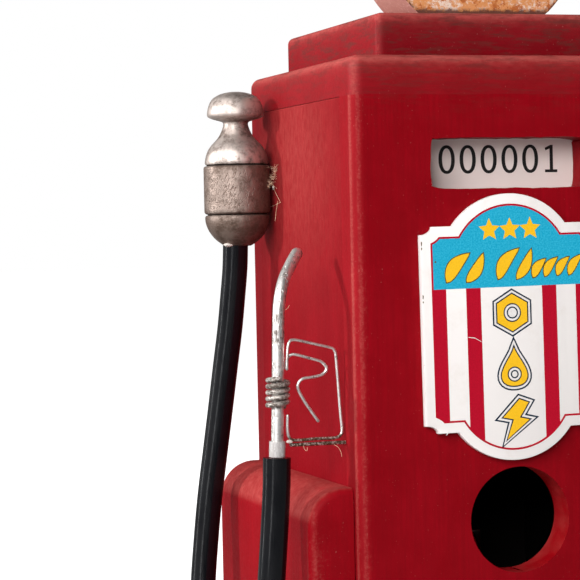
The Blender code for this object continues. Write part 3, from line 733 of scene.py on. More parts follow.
def window_outline():
    """The window's rough sawn outline: small rounded corners and slightly wavy edges."""
    low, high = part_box("number_card")
    x0, x1 = low.x + CARD_LAP, high.x - CARD_LAP
    z0, z1 = low.z + CARD_LAP, high.z - CARD_LAP
    outline = []
    corners = ((x0, z0), (x1, z0), (x1, z1), (x0, z1))
    inward = ((0, 1), (-1, 0), (0, -1), (1, 0))
    for i, (corner, following, way) in enumerate(zip(corners, corners[1:] + corners[:1], inward)):
        count = 36 if i % 2 == 0 else 12
        for k in range(count):
            t = k / count
            x, z = (a + (b - a) * t for a, b in zip(corner, following))
            wave = noise.noise(Vector((x, z, 0.3 * i)) * 260)
            fine = noise.noise(Vector((x, z, 1 + 0.3 * i)) * 1300)
            off = (0.22 * wave + 0.10 * fine + 0.9 * math.exp(-min(t, 1 - t) * count / 1.4)) * MM
            outline.append((x + way[0] * off, z + way[1] * off))
    return outline


def corner_wear_and_highlight(mesh, low, high):
    """Stores wear on a front board: two pale ridges down each rounded corner, a rubbed one towards
    the front and, towards the side, a painted highlight over rubbed paint.
    """
    def wear(p):
        x, y = min(p.x - low.x, high.x - p.x), p.y - low.y
        if x < CORNER_R and y < CORNER_R:
            angle = math.degrees(math.atan2(CORNER_R - y, CORNER_R - x))
            # Rubbed paint round the corner, most at 62 degrees; the ridge at 16 degrees, next to the
            # side, is a painted highlight over rubbed paint.
            return 0.22 + 0.38 * bell(angle, 62, 13) + 0.6 * bell(angle, 16, 13)
        if y < 0.1 * MM:
            return 0.30 * (1 - smooth_step((x - CORNER_R) / (1.6 * MM)))
        # On the side face just behind the corner: the same painted highlight over rubbed paint.
        return 0.35 * bell(y, CORNER_R, 2.2 * MM)

    store(mesh, "wear", wear)


def make_side_boards():
    for name, node in (("left_board", "left_side_panel"), ("right_board", "right_side_panel")):
        low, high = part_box(node)
        low.z = BASE_TOP
        low.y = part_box("front_panel")[1].y
        high.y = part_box("back_panel")[0].y
        high.z += 0.12 * MM
        mesh = mesh_of(board(low, high, (), 8 * MM), name)
        store(mesh, "wear", lambda p: 0.55 * (1 - smooth_step((high.z - p.z) / (1.2 * MM))))
        # A pale pink patch high on each side wall, about its middle: painted sheen.
        store(mesh, "painted_sheen", lambda p: 0.66 * bell(p.z, 0.235, 0.040) * bell(p.y, 0.005, 0.045))
        inner = high.x if high.x < 0 else low.x
        # The inner face gets the near-black inside: painted shade.
        split_faces(mesh, lambda c, n: abs(c.x - inner) < 0.1 * MM)
        paints = [red_paint(name + "_red", deep=0.87, sheen=0.05, rough=0.56),
                  dark_inside(name + "_inside")]
        new_piece(name, mesh, paints, stands_for=[node])


def make_back_board():
    low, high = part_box("back_panel")
    low.z, high.z = BASE_TOP, ROOF_FOOT
    bm = board(low, high, [(upright_at(high.y), CORNER_R, 8)], 8 * MM)
    door_low, door_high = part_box("clean_out_door")
    x0, x1 = door_low.x - DOOR_GAP, door_high.x + DOOR_GAP
    z0, z1 = door_low.z - DOOR_GAP, door_high.z + DOOR_GAP
    paints = [red_paint("back_red", deep=0.9, sheen=0.1, rough=0.56),
              dark_inside("back_board_inside")]
    thing = new_piece("back_board", mesh_of(bm, "back_board"), paints,
                      stands_for=["back_panel"])
    cutter = prism(((x0, z0), (x1, z0), (x1, z1), (x0, z1)), low.y - MM, high.y + MM)
    mesh = cut_hole(thing, mesh_of(cutter, "door_cutter"))
    # The back board's inner face round the door opening gets the near-black inside: painted shade.
    split_faces(mesh, lambda c, n: (n.y < -0.9 and abs(c.y - low.y) < 0.1 * MM
                                    and abs(c.x) < 50 * MM))
    edge_wear(mesh, low - Vector((0, 30 * MM, 0)), high, CORNER_R, "xy")


def flat_board(name, low, high, corner_r, top_r, segments, step):
    """A level board's mesh, its corners and top edges rounded."""
    rounds = [(upright, corner_r, segments), (at_height(high.z), top_r, segments)]
    return mesh_of(board(low, high, rounds, step), name)


def make_roof_board():
    low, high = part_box("roof_board")
    mesh = flat_board("roof_board_painted", low, high, CORNER_R, ROOF_EDGE_R, 8, 6 * MM)
    # 0.75 of the full wear at the corners and a painted highlight of 1.55 along the top edges
    edge_wear(mesh, low - SUNK, high, 4.6 * MM, "xyz", 0.75, 1.55)
    paint = red_paint("roof_red", grain=ALONG_X, deep=0.95, sheen=0.12, rough=0.5, grime=0.5,
                      grime_z=GRIME_Z)
    new_piece("roof_top", mesh, paint, stands_for=["roof_board"])


def make_cap():
    low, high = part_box("cap_block")
    low.z = ROOF_TOP
    mesh = flat_board("cap", low, high, CAP_CORNER_R, CAP_EDGE_R, 6, 6 * MM)
    # 0.6 of the full wear at the corners and a painted highlight of 1.2 along the top edges
    edge_wear(mesh, low - SUNK, high, 3.2 * MM, "xyz", 0.6, 1.2)
    split_faces(mesh, lambda c, n: n.y < -0.5)
    paints = [red_paint(name, grain=ALONG_X, deep=deep, sheen=sheen, rough=0.5, grime=0.6)
              for name, deep, sheen in (("cap_red", 0.9, 0.12), ("cap_front_red", 0.74, 0.08))]
    new_piece("cap", mesh, paints, stands_for=["cap_block"])


def make_base():
    low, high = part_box("base_board")
    mesh = flat_board("base", low, high, BASE_R, BASE_R, 6, 8 * MM)
    edge_wear(mesh, low - SUNK, high, BASE_R)
    new_piece("base", mesh, red_paint("base_red", dust_and_sheen=0.1, grain=ALONG_X),
              stands_for=["base_board"])


def make_side_blocks():
    for name, node in (("left_block", "left_side_block"), ("right_block", "right_side_block")):
        low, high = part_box(node)
        inner, outer = sorted((low.x, high.x), key=abs)
        low.z = BASE_TOP

        def both_at(a, b, axis, place):
            return all(abs(p[axis] - place) < 0.01 * MM for p in (a, b))

        def shoulder(a, b):
            return both_at(a, b, 0, outer) and both_at(a, b, 2, high.z)

        def ends(a, b):
            return ((both_at(a, b, 1, low.y) or both_at(a, b, 1, high.y))
                    and not both_at(a, b, 0, inner) and not both_at(a, b, 2, low.z))

        rounds = [(shoulder, SHOULDER_R, 14), (ends, BLOCK_END_R, 5)]
        bm = board(low, high, rounds, 6 * MM)
        near = [BLOCK_END_R + d * MM for d in (0.05, 0.6, 2.0)]
        slice_mesh(bm, "y", [low.y + d for d in near] + [high.y - d for d in near])
        mesh = mesh_of(bm, name, 40)
        store(mesh, "wear", lambda p: block_wear(p, low, high, outer))
        # Pale pink over the rounded top, stopping just short of the front end: painted sheen where
        # the top faces the light.
        store(mesh, "painted_sheen", lambda p: ((1 - smooth_step((high.z - p.z - 8.5 * MM) / (3 * MM)))
                                       * smooth_step((p.y - low.y - 0.6 * MM) / (1.8 * MM))))
        new_piece(name, mesh, red_paint(name + "_red", sheen=0.06, rough=0.5),
                  stands_for=[node])


def block_wear(point, low, high, outer):
    """Rubbed along a thin line round the front end and in a band down its outer edge."""
    end = point.y - low.y
    from_outer = abs(point.x - outer)
    near_edge = min(from_outer, high.z - point.z) < 9 * MM
    line = 0.55 * bell(end, 2.4 * MM, 0.9 * MM) if near_edge else 0.0
    band = 0.55 * bell(from_outer, 1.8 * MM, 1.6 * MM) if end < 3 * MM else 0.0
    return max(line, band)


# ---- window, sign

def make_card():
    low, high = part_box("number_card")
    mesh = mesh_of(board(low, high, (), 10 * MM), "card")
    new_piece("card", mesh, card_paper(), stands_for=["number_card"])
    digits = bmesh.new()
    front = low.y - 0.03 * MM
    back = front + 0.04 * MM
    first_x, pitch, middle = -18.8 * MM, 7.5 * MM, 231.15 * MM
    for i in range(5):
        loops = [oval((first_x + i * pitch, middle), half_w * MM, half_h * MM, 2.2)
                 for half_w, half_h in ((2.9, 4.75), (1.6, 3.7))]
        add_strip(digits, *loops, front, back)
    last_x = first_x + 5 * pitch + 0.1 * MM
    one = ((-2.25, -4.6), (2.25, -4.6), (2.25, -3.65), (0.7, -3.65), (0.7, 4.6), (-0.2, 4.6),
           (-2.25, 3.65), (-2.0, 2.75), (-0.5, 3.35), (-0.5, -3.65), (-2.25, -3.65))
    add_plate(digits, [(last_x + x * MM, middle + z * MM) for x, z in one], front, back)
    new_piece("card_digits", mesh_of(digits, "card_digits"), black_ink())


def add_strip(bm, outer, inner, front, back):
    """A closed band between two loops of (x, z) points."""
    rings = [[bm.verts.new((x, y, z)) for x, z in loop] for loop, y in
             ((outer, front), (inner, front), (inner, back), (outer, back))]
    skin(bm, rings + rings[:1])


def oval(centre, half_w, half_h, power, count=48):
    """An oval, squarer than an ellipse where power is over 2."""
    points = []
    for i in range(count):
        a = 2 * math.pi * i / count
        c, s = math.cos(a), math.sin(a)
        points.append((centre[0] + half_w * math.copysign(abs(c) ** (2 / power), c),
                       centre[1] + half_h * math.copysign(abs(s) ** (2 / power), s)))
    return points


def add_plate(bm, outline, front, back):
    """A flat plate in the bmesh between two depths."""
    near, far = ([bm.verts.new((x, y, z)) for x, z in outline] for y in (front, back))
    bm.faces.new(near)
    bm.faces.new(far[::-1])
    skin(bm, [far, near])


def sign_outline(inset=0.0):
    """The sign's outline, drawn in by inset: notched corners and a domed top and foot."""
    half_w, half_h = SIGN_NOTCH[0] + inset, SIGN_NOTCH[1] + inset
    start = 2 * math.pi - math.acos(-inset / half_w)
    end = math.pi + math.asin(inset / half_h)
    quarter = []
    for i in range(9):
        a = start + (end - start) * i / 8
        quarter.append((SIGN_HALF_W + half_w * math.cos(a), SIGN_SHOULDER + half_h * math.sin(a)))
    rise = SIGN_APEX - SIGN_SHOULDER
    dome_r = (SIGN_DOME_HALF_W ** 2 + rise ** 2) / (2 * rise)
    centre, radius = SIGN_APEX - dome_r, dome_r - inset
    first = math.asin((SIGN_SHOULDER - inset - centre) / radius)
    for i in range(29):
        a = first + (math.pi / 2 - first) * i / 28
        quarter.append((radius * math.cos(a), centre + radius * math.sin(a)))
    top = quarter + [(-x, z) for x, z in reversed(quarter[:-1])]
    return top + [(-x, -z) for x, z in top]


def outline_height(u, inset):
    """How far above the sign's middle its inset outline is, u across from the middle."""
    points = sorted(p for p in sign_outline(inset) if p[1] > 0)
    for (x0, z0), (x1, z1) in zip(points, points[1:]):
        if x0 <= u <= x1 and x1 > x0:
            return z0 + (z1 - z0) * (u - x0) / (x1 - x0)
    return points[-1][1] if u > 0 else points[0][1]


def grown(points, distance):
    """A closed outline moved outwards by distance, its corners kept sharp."""
    area = sum(x0 * z1 - x1 * z0 for (x0, z0), (x1, z1) in zip(points, points[1:] + points[:1]))
    side = 1 if area > 0 else -1
    moved = []
    for before, here, after in zip(points[-1:] + points[:-1], points, points[1:] + points[:1]):
        into = Vector((here[0] - before[0], here[1] - before[1])).normalized()
        away = Vector((after[0] - here[0], after[1] - here[1])).normalized()
        normals = [Vector((w.y, -w.x)) * side for w in (into, away)]
        middle = (normals[0] + normals[1]).normalized()
        reach = distance / max(0.45, middle.dot(normals[0]))
        moved.append((here[0] + middle.x * reach, here[1] + middle.y * reach))
    return moved


class SignPrint:
    """The print on the sign: flat plates of ink, each a hair in front of the last."""
    LAYER = 0.02

    def __init__(self):
        self.bm = bmesh.new()
        self.inks = {name: print_ink("print_" + name, *mix) for name, mix in SIGN_INKS.items()}
        self.used = []

    def paint(self, outline, ink, layer, inner=None):
        """A plate of ink, or a band of it where inner is given."""
        before = len(self.bm.faces)
        front = -self.LAYER * (layer + 1)
        if inner:
            add_strip(self.bm, outline, inner, front, 0.0)
        else:
            add_plate(self.bm, outline, front, 0.0)
        if ink not in self.used:
            self.used.append(ink)
        self.bm.faces.ensure_lookup_table()
        for face in self.bm.faces[before:]:
            face.material_index = self.used.index(ink)

    def nested(self, shape, layer, *rims):
        """One shape painted again and again, moved in or out to each rim's reach in mm."""
        for i, (reach, ink) in enumerate(rims):
            self.paint(grown(shape, reach), ink, layer + i)

    def outlined(self, shape):
        """A gold shape with a navy line at its edge, a white gap, and a navy line round that."""
        self.nested(shape, 1, (1.6, "navy"), (1.08, "white"), (0.42, "navy"), (0.0, "gold"))

    def pierced(self, shape):
        """The same lines in reverse, for a hole in a gold shape."""
        self.nested(shape, 5, (0.4, "navy"), (0.0, "white"), (-0.7, "navy"), (-1.15, "white"))


def star(centre, radius):
    """Five points, the first one straight up."""
    tips, dents = (polygon(centre, r, 5, turn) for r, turn in ((radius, 90), (0.46 * radius, 126)))
    return [corner for pair in zip(tips, dents) for corner in pair]


def leaf(foot, tip, width, bow, steps=14):
    """A curved leaf shape from its foot to its tip, bowed to one side."""
    foot, tip = Vector(foot), Vector(tip)
    way = tip - foot
    side = Vector((-way.y, way.x)).normalized()
    left, right = [], []
    for i in range(steps + 1):
        t = i / steps
        middle = foot + way * t + side * bow * math.sin(math.pi * t)
        half = 0.5 * width * math.sin(math.pi * t) ** 0.7 * (1.1 - 0.5 * t)
        left.append(middle + side * half)
        right.append(middle - side * half)
    return [tuple(p) for p in left + right[-2:0:-1]]


def drop(centre, half_w, top, foot, count=36):
    """A fuel drop: round below, pointed above."""
    points = []
    for i in range(count):
        a = 2 * math.pi * i / count
        lift = (1 + math.sin(a)) / 2
        points.append((centre[0] + half_w * math.cos(a) * (1 - lift ** 1.6),
                       centre[1] + foot + (top - foot) * lift ** 1.15))
    return points


def make_sign():
    low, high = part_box("sign_board")
    middle = Vector(((low.x + high.x) / 2, low.y, (low.z + high.z) / 2))
    place = Matrix.Translation(middle) @ Matrix.Rotation(SIGN_TILT, 4, "Y") @ Matrix.Scale(MM, 4)
    bm = prism(sign_outline(), 0, (high.y - low.y) / MM)
    soften(bm, [e for e in bm.edges if abs(e.verts[0].co.y - e.verts[1].co.y) < 1e-6], 0.3, 2)
    bm.transform(place)
    mesh = mesh_of(bm, "sign_panel")
    store(mesh, "wear", lambda p: float(p.y > low.y + 0.05 * MM and p.x < middle.x))
    new_piece("sign_panel", mesh, enamel_white(), stands_for=["sign_board"])
    art = SignPrint()
    draw_sign(art)
    art.bm.transform(place)
    new_piece("sign_print", mesh_of(art.bm, "sign_print"), [art.inks[ink] for ink in art.used])


def draw_sign(art):
    """A red line inside the rim, a turquoise field over red stripes, and plain symbols."""
    field_foot, edge = 13.2, 3.9
    art.paint(sign_outline(3.35), "red", 1, inner=sign_outline(4.0))
    half_w = SIGN_HALF_W - edge
    top = [p for p in sign_outline(edge) if p[1] > field_foot]
    art.paint([(half_w, field_foot)] + top + [(-half_w, field_foot)], "turquoise", 0)
    for low_u, high_u in ((-half_w, -22.9), (-15.95, -10.85), (10.85, 15.95), (22.9, half_w)):
        us = [low_u + (high_u - low_u) * i / 16 for i in range(17)]
        foot = [(u, -outline_height(u, edge)) for u in us]
        art.paint(foot + [(high_u, field_foot), (low_u, field_foot)], "red", 0)
    for i in range(3):
        art.paint(star((-7.2 + 7.2 * i, 32.0), 3.9), "gold", 1)
    draw_flames(art)
    nut, fuel_drop, drop_hole = (0.0, 4.7), (0.2, -12.9), (0.2, -15.5)
    bolt = ((1.6, -23.8), (-4.2, -29.5), (-0.6, -30.3), (-3.0, -36.8), (5.0, -30.6),
            (1.6, -29.8), (4.8, -25.0))
    art.outlined(polygon(nut, 6.1, 6, 90))
    art.pierced(polygon(nut, 2.7, 24))
    art.outlined(drop(fuel_drop, 5.8, 6.3, -6.4))
    art.pierced(polygon(drop_hole, 2.1, 24))
    art.outlined(bolt)
    draw_flaws(art)


def draw_flames(art):
    """A slanting row of flame shapes, two tall ones on the left and six on the right."""
    flames = [  # foot, tip, width, bow
        ((-22.6, 15.4), (-14.4, 24.6), 5.2, 1.3), ((-15.6, 15.2), (-9.6, 24.4), 4.2, -0.9),
        ((-4.6, 15.8), (3.0, 25.6), 4.8, 1.4), ((2.0, 15.6), (7.4, 25.2), 3.9, -0.8),
        ((7.8, 15.9), (12.4, 21.9), 3.5, 0.8), ((12.0, 16.1), (16.6, 22.2), 3.3, 0.8),
        ((16.4, 16.3), (20.8, 22.2), 3.3, 0.8), ((20.6, 16.3), (25.4, 22.8), 3.3, 0.8),
    ]
    for flame in flames:
        art.nested(leaf(*flame), 1, (0.32, "umber"), (0.0, "gold"))


def draw_flaws(art):
    """A pale scratch, a small chipped crescent and dark specks, as on a handled sign."""
    art.paint([(-15.6, -2.6), (-13.4, -2.9), (-11.2, -4.2), (-11.0, -4.5), (-13.3, -3.2),
               (-15.6, -2.8)], "white", 1)
    art.paint([(-24.2, -33.7), (-23.8, -33.3), (-23.4, -32.6), (-23.5, -33.3), (-23.9, -33.9),
               (-24.6, -34.3)], "white", 1)
    art.paint(polygon((-26.3, 22.2), 0.32, 10), "umber", 1)
    for v, tall in ((28.2, 0.9), (26.6, 0.5), (11.0, 0.8), (9.3, 0.35)):
        art.paint([(-31.1, v - tall), (-30.8, v - 0.6 * tall), (-30.7, v + 0.5 * tall),
                   (-31.1, v + tall)], "umber", 0)


# ---- globe, finial

def make_globe():
    low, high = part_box("globe")
    radius = (high.x - low.x) / 2
    centre = Vector(((low.x + high.x) / 2, 0, high.z - radius))
    foot = centre.z - low.z
    open_half = math.degrees(math.acos((foot - 3 * MM) / radius))
    angles = [math.radians(open_half - 90 + (360 - 2 * open_half) * i / 96) for i in range(97)]
    outline = [(radius * math.cos(a), radius * math.sin(a)) for a in angles]
    bm = prism(outline + [(-21 * MM, -foot), (21 * MM, -foot)], low.y, high.y)
    for facing in (-1, 1):
        for reach in (0.5 * MM, 0.5 * MM, 0.9 * MM, 1.6 * MM):
            flat = [f for f in bm.faces if len(f.verts) > 20
                    and (f.calc_center_median().y - (low.y + high.y) / 2) * facing > 0]
            bmesh.ops.inset_region(bm, faces=flat, thickness=reach, use_even_offset=True)
    bm.normal_update()
    rims = [e for e in bm.edges if len(e.link_faces) == 2
            and abs(abs(e.link_faces[0].normal.y) - abs(e.link_faces[1].normal.y)) > 0.9]
    soften(bm, rims, 0.45 * MM, 3)
    bm.normal_update()
    for face in bm.faces:
        face.material_index = 0 if abs(face.normal.y) > 0.8 else 1
    bmesh.ops.translate(bm, vec=centre, verts=bm.verts)
    mesh = mesh_of(bm, "globe_disc")

    def wear(p):
        from_rim = min(radius - (p.xz - centre.xz).length, 0.45 * (p.z - low.z))
        on_face = min(abs(p.y - low.y), abs(p.y - high.y)) < 0.5 * MM
        return 1 - smooth_step((from_rim - 0.3 * MM) / (1.2 * MM)) if on_face else 0.0

    store(mesh, "wear", wear)
    new_piece("globe_disc", mesh, [rusty_white(low.z), globe_rim()],
              stands_for=["globe"])


def make_finial():
    low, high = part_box("hose_finial")
    x, y = (low.x + high.x) / 2, (low.y + high.y) / 2
    profile = []
    for start, end in zip(FINIAL_PROFILE, FINIAL_PROFILE[1:]):
        count = max(1, round(math.dist(start, end) / 0.7))
        profile += [[a + (b - a) * i / count for a, b in zip(start, end)] for i in range(count)]
    profile.append(FINIAL_PROFILE[-1])
    bm = bmesh.new()
    across, up = Vector((1, 0, 0)), Vector((0, 1, 0))
    skin(bm, [ring(bm, Vector((x, y, z * MM)), across, up, r * MM, 72) for r, z in profile])
    mesh = mesh_of(bm, "turned_finial", 28)
    low_groove, high_groove = FINIAL_GROOVES

    def barrel(p):
        z = p.z / MM
        return (smooth_step((z - low_groove - 1.2) / 1.5)
                * smooth_step((high_groove - 1 - z) / 2.0))

    def groove(p):
        z, r = p.z / MM, math.hypot(p.x - x, p.y - y) / MM
        return float(min(abs(z - low_groove), abs(z - high_groove)) < 0.3 and r < 11.0)

    def tarnish_and_shade(p):
        z = p.z / MM
        # Tarnishing with painted light: darker from the upper groove down and more in the bowl, a
        # painted reflection of the dark floor; darker on the side towards the wall, a painted
        # reflection of the red wall; three dark rings at the knob and neck; and the knob kept light,
        # a painted highlight.
        return (0.8 * smooth_step((high_groove + 0.4 - z) / 0.8)
                + 0.3 * smooth_step((low_groove - 0.5 - z) / 4) + 0.75 * bell(z, 255.0, 0.5)
                + 0.5 * bell(z, 248.4, 0.7) + 0.3 * bell(z, 244.0, 1.6)
                + 0.4 * smooth_step((p.x - x) / (10 * MM)) - 0.6 * smooth_step(z - 249.0))

    for value_at in (barrel, groove, tarnish_and_shade):
        store(mesh, value_at.__name__, value_at)
    paint = silver_paint("finial_silver", True, wear_level=0.435, base=(0.61, 0.53, 0.485),
                         gloss=0.5, spread=0.25, brown=(0.085, 0.053, 0.038), along=1.4)
    new_piece("turned_finial", mesh, paint, stands_for=["hose_finial"])


# ---- nozzle

def rod_point(height):
    """The rod's centre at a height, in its straight part."""
    low, high = Vector(ROD_ROUTE[0]) * MM, Vector(ROD_ROUTE[1]) * MM
    return low.lerp(high, (height - low.z) / (high.z - low.z))


def make_nozzle():
    bright = (0.86, 0.83, 0.80)
    rod = tube("nozzle_pipe", *domed(smooth_route(in_mm(ROD_ROUTE), 1.2 * MM), ROD_R), 32)
    paint = silver_paint("rod_silver", wear_level=0.49, base=bright, along=0.35)
    new_piece("nozzle_pipe", rod, paint, stands_for=["nozzle_rod"])
    low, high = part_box("grip_coil")
    first, last = low.z + COIL_WIRE_R, high.z - COIL_WIRE_R
    count = round(COIL_TURNS * 36)
    points = []
    for i in range(count + 1):
        a = math.radians(20) + 2 * math.pi * COIL_TURNS * i / count
        points.append(rod_point(first + (last - first) * i / count)
                      + COIL_R * Vector((math.cos(a), math.sin(a), 0)))
    coil = tube("grip_winding", *domed(points, COIL_WIRE_R), 18)
    paint = silver_paint("coil_silver", wear_level=0.455, base=(0.74, 0.69, 0.64))
    new_piece("grip_winding", coil, paint, stands_for=["grip_coil"])
    wire = silver_paint("wire_silver", rust=(0.12, 0.075, 0.045), wear_level=0.515, base=bright)
    for name, node, route in (("guard_loop", "guard_wire", GUARD_ROUTE),
                              ("trigger_hook", "trigger_wire", TRIGGER_ROUTE)):
        mesh = tube(name, *domed(smooth_route(in_mm(route), 0.7 * MM), THIN_WIRE_R), 14)
        store(mesh, "rust", lambda p: 1 - smooth_step((p.z - 141.4 * MM) / (1.2 * MM)))
        new_piece(name, mesh, wire, stands_for=[node])
    make_sleeve()
    make_wall_pin()


def make_sleeve():
    low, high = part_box("clear_sleeve")
    foot, head = rod_point(low.z), rod_point(high.z)
    turn = (head - foot).to_track_quat("Z", "Y").to_matrix()
    inner, outer = 2.05 * MM, 2.65 * MM
    path = ((inner, 0), (outer, 0), (outer, 0.3), (outer, 0.7), (outer * 0.98, 1), (inner, 1))
    bm = bmesh.new()
    rings = [ring(bm, foot.lerp(head, t), turn.col[0], turn.col[1], r, 40) for r, t in path]
    skin(bm, rings + rings[:1])
    new_piece("milky_sleeve", mesh_of(bm, "milky_sleeve"), milky_sleeve(),
              stands_for=["clear_sleeve"])


def make_wall_pin():
    low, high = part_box("wall_pin")
    y, z = (low.y + high.y) / 2, (low.z + high.z) / 2
    points = [Vector((low.x + (high.x - low.x) * i / 24, y, z)) for i in range(25)]
    mesh = tube("rusty_pin", *domed(points, (high.z - low.z) / 2), 16)
    store(mesh, "rust", lambda p: 1.0)
    pin = silver_paint("pin_metal", rust=(0.10, 0.06, 0.035), wear_level=0.48)
    new_piece("rusty_pin", mesh, pin, stands_for=["wall_pin"])


def make_glue():
    """Hot glue threads, a frayed tuft and beads where the finial, guard and hose are stuck on."""
    amber = glue("glue_thread", (0.95, 0.66, 0.45), 0.85)
    clear = glue("glue_bead", (0.86, 0.77, 0.71), 0.7)
    wall = -56.15  # just outside the left board
    threads = {
        "finial_glue_threads": [
            [(wall - 0.4, 28.2, 225.6), (wall - 0.3, 27.4, 224.0), (wall - 0.1, 25.6, 222.3),
             (wall, 20.5, 218.9)],
            [(wall, 20.5, 218.9), (wall - 0.2, 26.0, 218.2), (wall - 0.6, 33.0, 217.2),
             (-59.5, 35.0, 214.9)],
            [(wall - 0.1, 23.5, 219.4), (wall, 25.8, 216.2), (wall, 27.6, 212.4)],
        ],
        "guard_glue_threads": [
            [(-70.6, -45.6, 139.0), (-70.4, -46.0, 137.6), (-69.6, -46.2, 137.0),
             (-69.4, -46.0, 138.2)],
            [(-60.2, -45.7, 138.6), (-58.8, -46.2, 137.6), (-58.0, -46.4, 136.0),
             (-57.7, -46.2, 134.6)],
            [(-76.0, -46.6, 183.2), (-75.2, -46.4, 183.6), (-74.6, -46.2, 184.6)],
        ],
        "finial_glue_tuft": tuft_lines(wall),
    }
    for name, lines in threads.items():
        mesh = thread_mesh(name, lines, 0.035 if "tuft" in name else 0.07)
        new_piece(name, mesh, amber)
    beads = {  # centre, half size, shape
        "finial_glue_bead": ((wall - 0.4, 27.6, 224.4), (0.35, 0.8, 0.7), 3),
        "hose_glue_bead": ((-72.7, 30.6, 204.3), (1.8, 1.8, 0.8), 5),
        "guard_glue_bead": ((-75.5, -46.1, 140.3), (1.0, 0.6, 0.6), 7),
    }
    for name, (centre, size, seed) in beads.items():
        bm = bmesh.new()
        bmesh.ops.create_icosphere(bm, subdivisions=3, radius=1.0)
        for vert in bm.verts:
            swell = 1 + 0.28 * noise.noise(vert.co * 1.6 + Vector((seed, 0, 0)))
            vert.co = Vector([c + v * s * swell for c, v, s in zip(centre, vert.co, size)]) * MM
        new_piece(name, mesh_of(bm, name, 60), clear)


def thread_mesh(name, lines, radius):
    """One mesh of many thin threads; lines and radius in mm."""
    bm = bmesh.new()
    for line in lines:
        part = tube(name, smooth_route(in_mm(line), 0.6 * MM), radius * MM, 6)
        bm.from_mesh(part)
        bpy.data.meshes.remove(part)
    return mesh_of(bm, name, 60)


def tuft_lines(wall, count=56):
    """Short curling fibres of glue that fill the gap between finial and wall."""
    lines = []
    for i in range(count):
        wander = [2 * noise.noise(Vector((i * 1.37, k * 4.1, 2.0))) for k in range(6)]
        height = 224.2 + 7.6 * ((i * 0.618) % 1.0) + 0.5 * wander[0]
        out = 3.0 * ((i * 0.381) % 1.0) ** 1.5
        start = Vector((wall - 0.2 - out, 24.6 + 0.5 * out + 1.6 * wander[1], height))
        bend = Vector((0.5 * wander[2], 0.5 * wander[4], 0.6 * wander[3]))
        reach = Vector((1.3 * wander[5], 1.2 * wander[4], 1.3 * wander[0] + 0.2))
        lines.append([start - reach, start + bend, start + reach])
    return lines


# ---- door and fasteners

def make_door():
    low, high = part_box("clean_out_door")
    half_t = (high.y - low.y) / 2
    pivot_y, pivot_z = (low.y + high.y) / 2, high.z - half_t
    outline = [(low.y, low.z), (high.y, low.z)]
    outline += [(pivot_y + half_t * math.cos(math.radians(10 * i)),
                 pivot_z + half_t * math.sin(math.radians(10 * i))) for i in range(19)]
    bm = prism(outline, low.x, high.x, "x")
    soften(bm, [e for e in bm.edges if abs(e.verts[0].co.x - e.verts[1].co.x) < 1e-7], 0.8 * MM, 3)
    slice_mesh(bm, "x", cuts(low.x, high.x, 0.8 * MM, 7 * MM))
    slice_mesh(bm, "z", cuts(low.z, pivot_z, 0.8 * MM, 7 * MM))
    mesh = mesh_of(bm, "door")
    edge_wear(mesh, low, high, 2.2 * MM, "xz")
    new_piece("door_leaf", mesh, red_paint("door_red", dust_and_sheen=0.05), "door",
              ["clean_out_door"])


def make_turn_button():
    low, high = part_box("turn_button")
    centre = (low + high) / 2
    r = (high.x - low.x) / 2
    outline = []
    for sign, start in ((1, 0), (-1, 180)):
        end_z = centre.z + sign * ((high.z - low.z) / 2 - r)
        outline += [(centre.x + r * math.cos(a), end_z + r * math.sin(a))
                    for a in (math.radians(start + 10 * i) for i in range(19))]
    bm = prism(outline, low.y, high.y)
    soften(bm, [e for e in bm.edges if all(abs(v.co.y - high.y) < 1e-7 for v in e.verts)],
           1.2 * MM, 4)
    new_piece("button_bar", mesh_of(bm, "button_bar"), bare_wood("button_wood"), "button",
              ["turn_button"])


def refinish_nodes():
    """Hidden wood and the screws keep their CAD shapes and get finished materials; screws inside the
    box get near-black steel, which is painted shade.
    """
    wood = bare_wood("plain_wood", ALONG_X)
    zinc = screw_steel("dull_zinc", (0.50, 0.48, 0.46), (0.32, 0.30, 0.28))
    inside_shade = screw_steel("inside_shade_steel", (0.035, 0.033, 0.032), (0.02, 0.018, 0.017))
    for name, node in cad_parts.items():
        if node.hide_render:
            continue
        # Screws inside the box get near-black steel: painted shade.
        inside_box = "block_screw" in name or "cap_screw" in name
        metal = "screw" in name or "nail" in name
        for slot in node.material_slots:
            slot.material = inside_shade if inside_box else zinc if metal else wood


# ---- light and stage

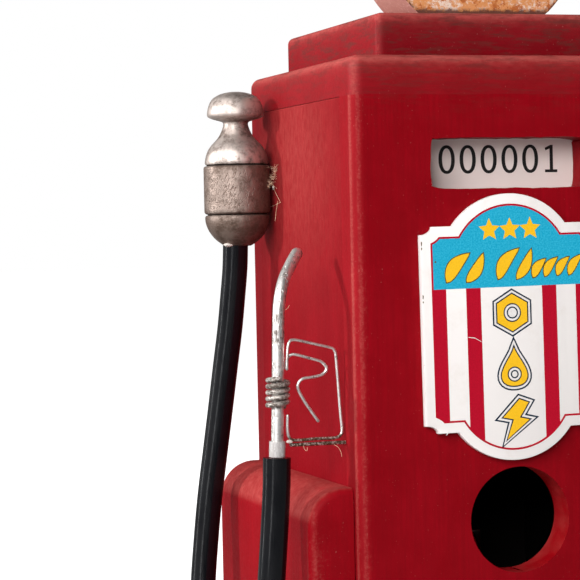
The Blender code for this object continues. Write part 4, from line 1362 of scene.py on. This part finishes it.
def make_stage():
    bm = bmesh.new()
    bmesh.ops.create_grid(bm, x_segments=2, y_segments=2, size=14)
    mesh = bpy.data.meshes.new("floor")
    bm.to_mesh(mesh)
    bm.free()
    floor = add("floor", mesh)
    floor.location = (0, 0, -0.2 * MM)
    s = Surface("floor_paper", Roughness=0.9, Specular_IOR_Level=0.1)
    s.set("Base Color", (0.36, 0.36, 0.36))
    s.set("Emission Color", (1.0, 1.0, 1.0))
    s.set("Emission Strength", s.times(s.node("LightPath").outputs["Is Camera Ray"], 0.95))
    mesh.materials.append(s.material)


def make_world():
    """White to the camera. To the pieces it is dim, and bright from the left and above."""
    world = bpy.data.worlds.new("studio")
    bpy.context.scene.world = world
    world.use_nodes = True
    nodes = Nodes(world.node_tree)
    seen = nodes.tree.nodes["Background"]
    nodes.filled(seen, ((1.0, 1.0, 1.0), 1.0))
    facing = nodes.vector_math("DOT_PRODUCT", nodes.node("TexCoord").outputs["Generated"],
                               Vector(WORLD_BRIGHT_WAY).normalized())
    glow = nodes.remap(facing.outputs["Value"], 0.20, 0.85, WORLD_DIM, WORLD_BRIGHT)
    light = nodes.node("Background", Strength=glow)
    to_camera = nodes.node("LightPath").outputs["Is Camera Ray"]
    blend = nodes.filled(nodes.node("MixShader"), (to_camera, light.outputs[0], seen.outputs[0]))
    nodes.feed(nodes.tree.nodes["World Output"].inputs["Surface"], blend.outputs[0])


def make_lights():
    for name, (spot, size, power, colour) in LIGHTS.items():
        data = bpy.data.lights.new(name, "AREA")
        if isinstance(size, tuple):
            data.shape = "RECTANGLE"
            data.size, data.size_y = size
        else:
            data.shape = "DISK"
            data.size = size
        data.energy = power
        data.color = colour
        light = add(name, data)
        light.location = spot
        light.visible_camera = False
        light.rotation_euler = (AIM - Vector(spot)).to_track_quat("-Z", "Y").to_euler()


# ---- build

def main():
    bpy.context.scene.view_settings.view_transform = "Standard"
    make_camera()
    make_hose()
    make_front_board()
    make_side_boards()
    make_back_board()
    make_roof_board()
    make_cap()
    make_base()
    make_side_blocks()
    make_card()
    make_sign()
    make_globe()
    make_finial()
    make_nozzle()
    make_glue()
    make_door()
    make_turn_button()
    refinish_nodes()
    make_stage()
    make_world()
    make_lights()


main()
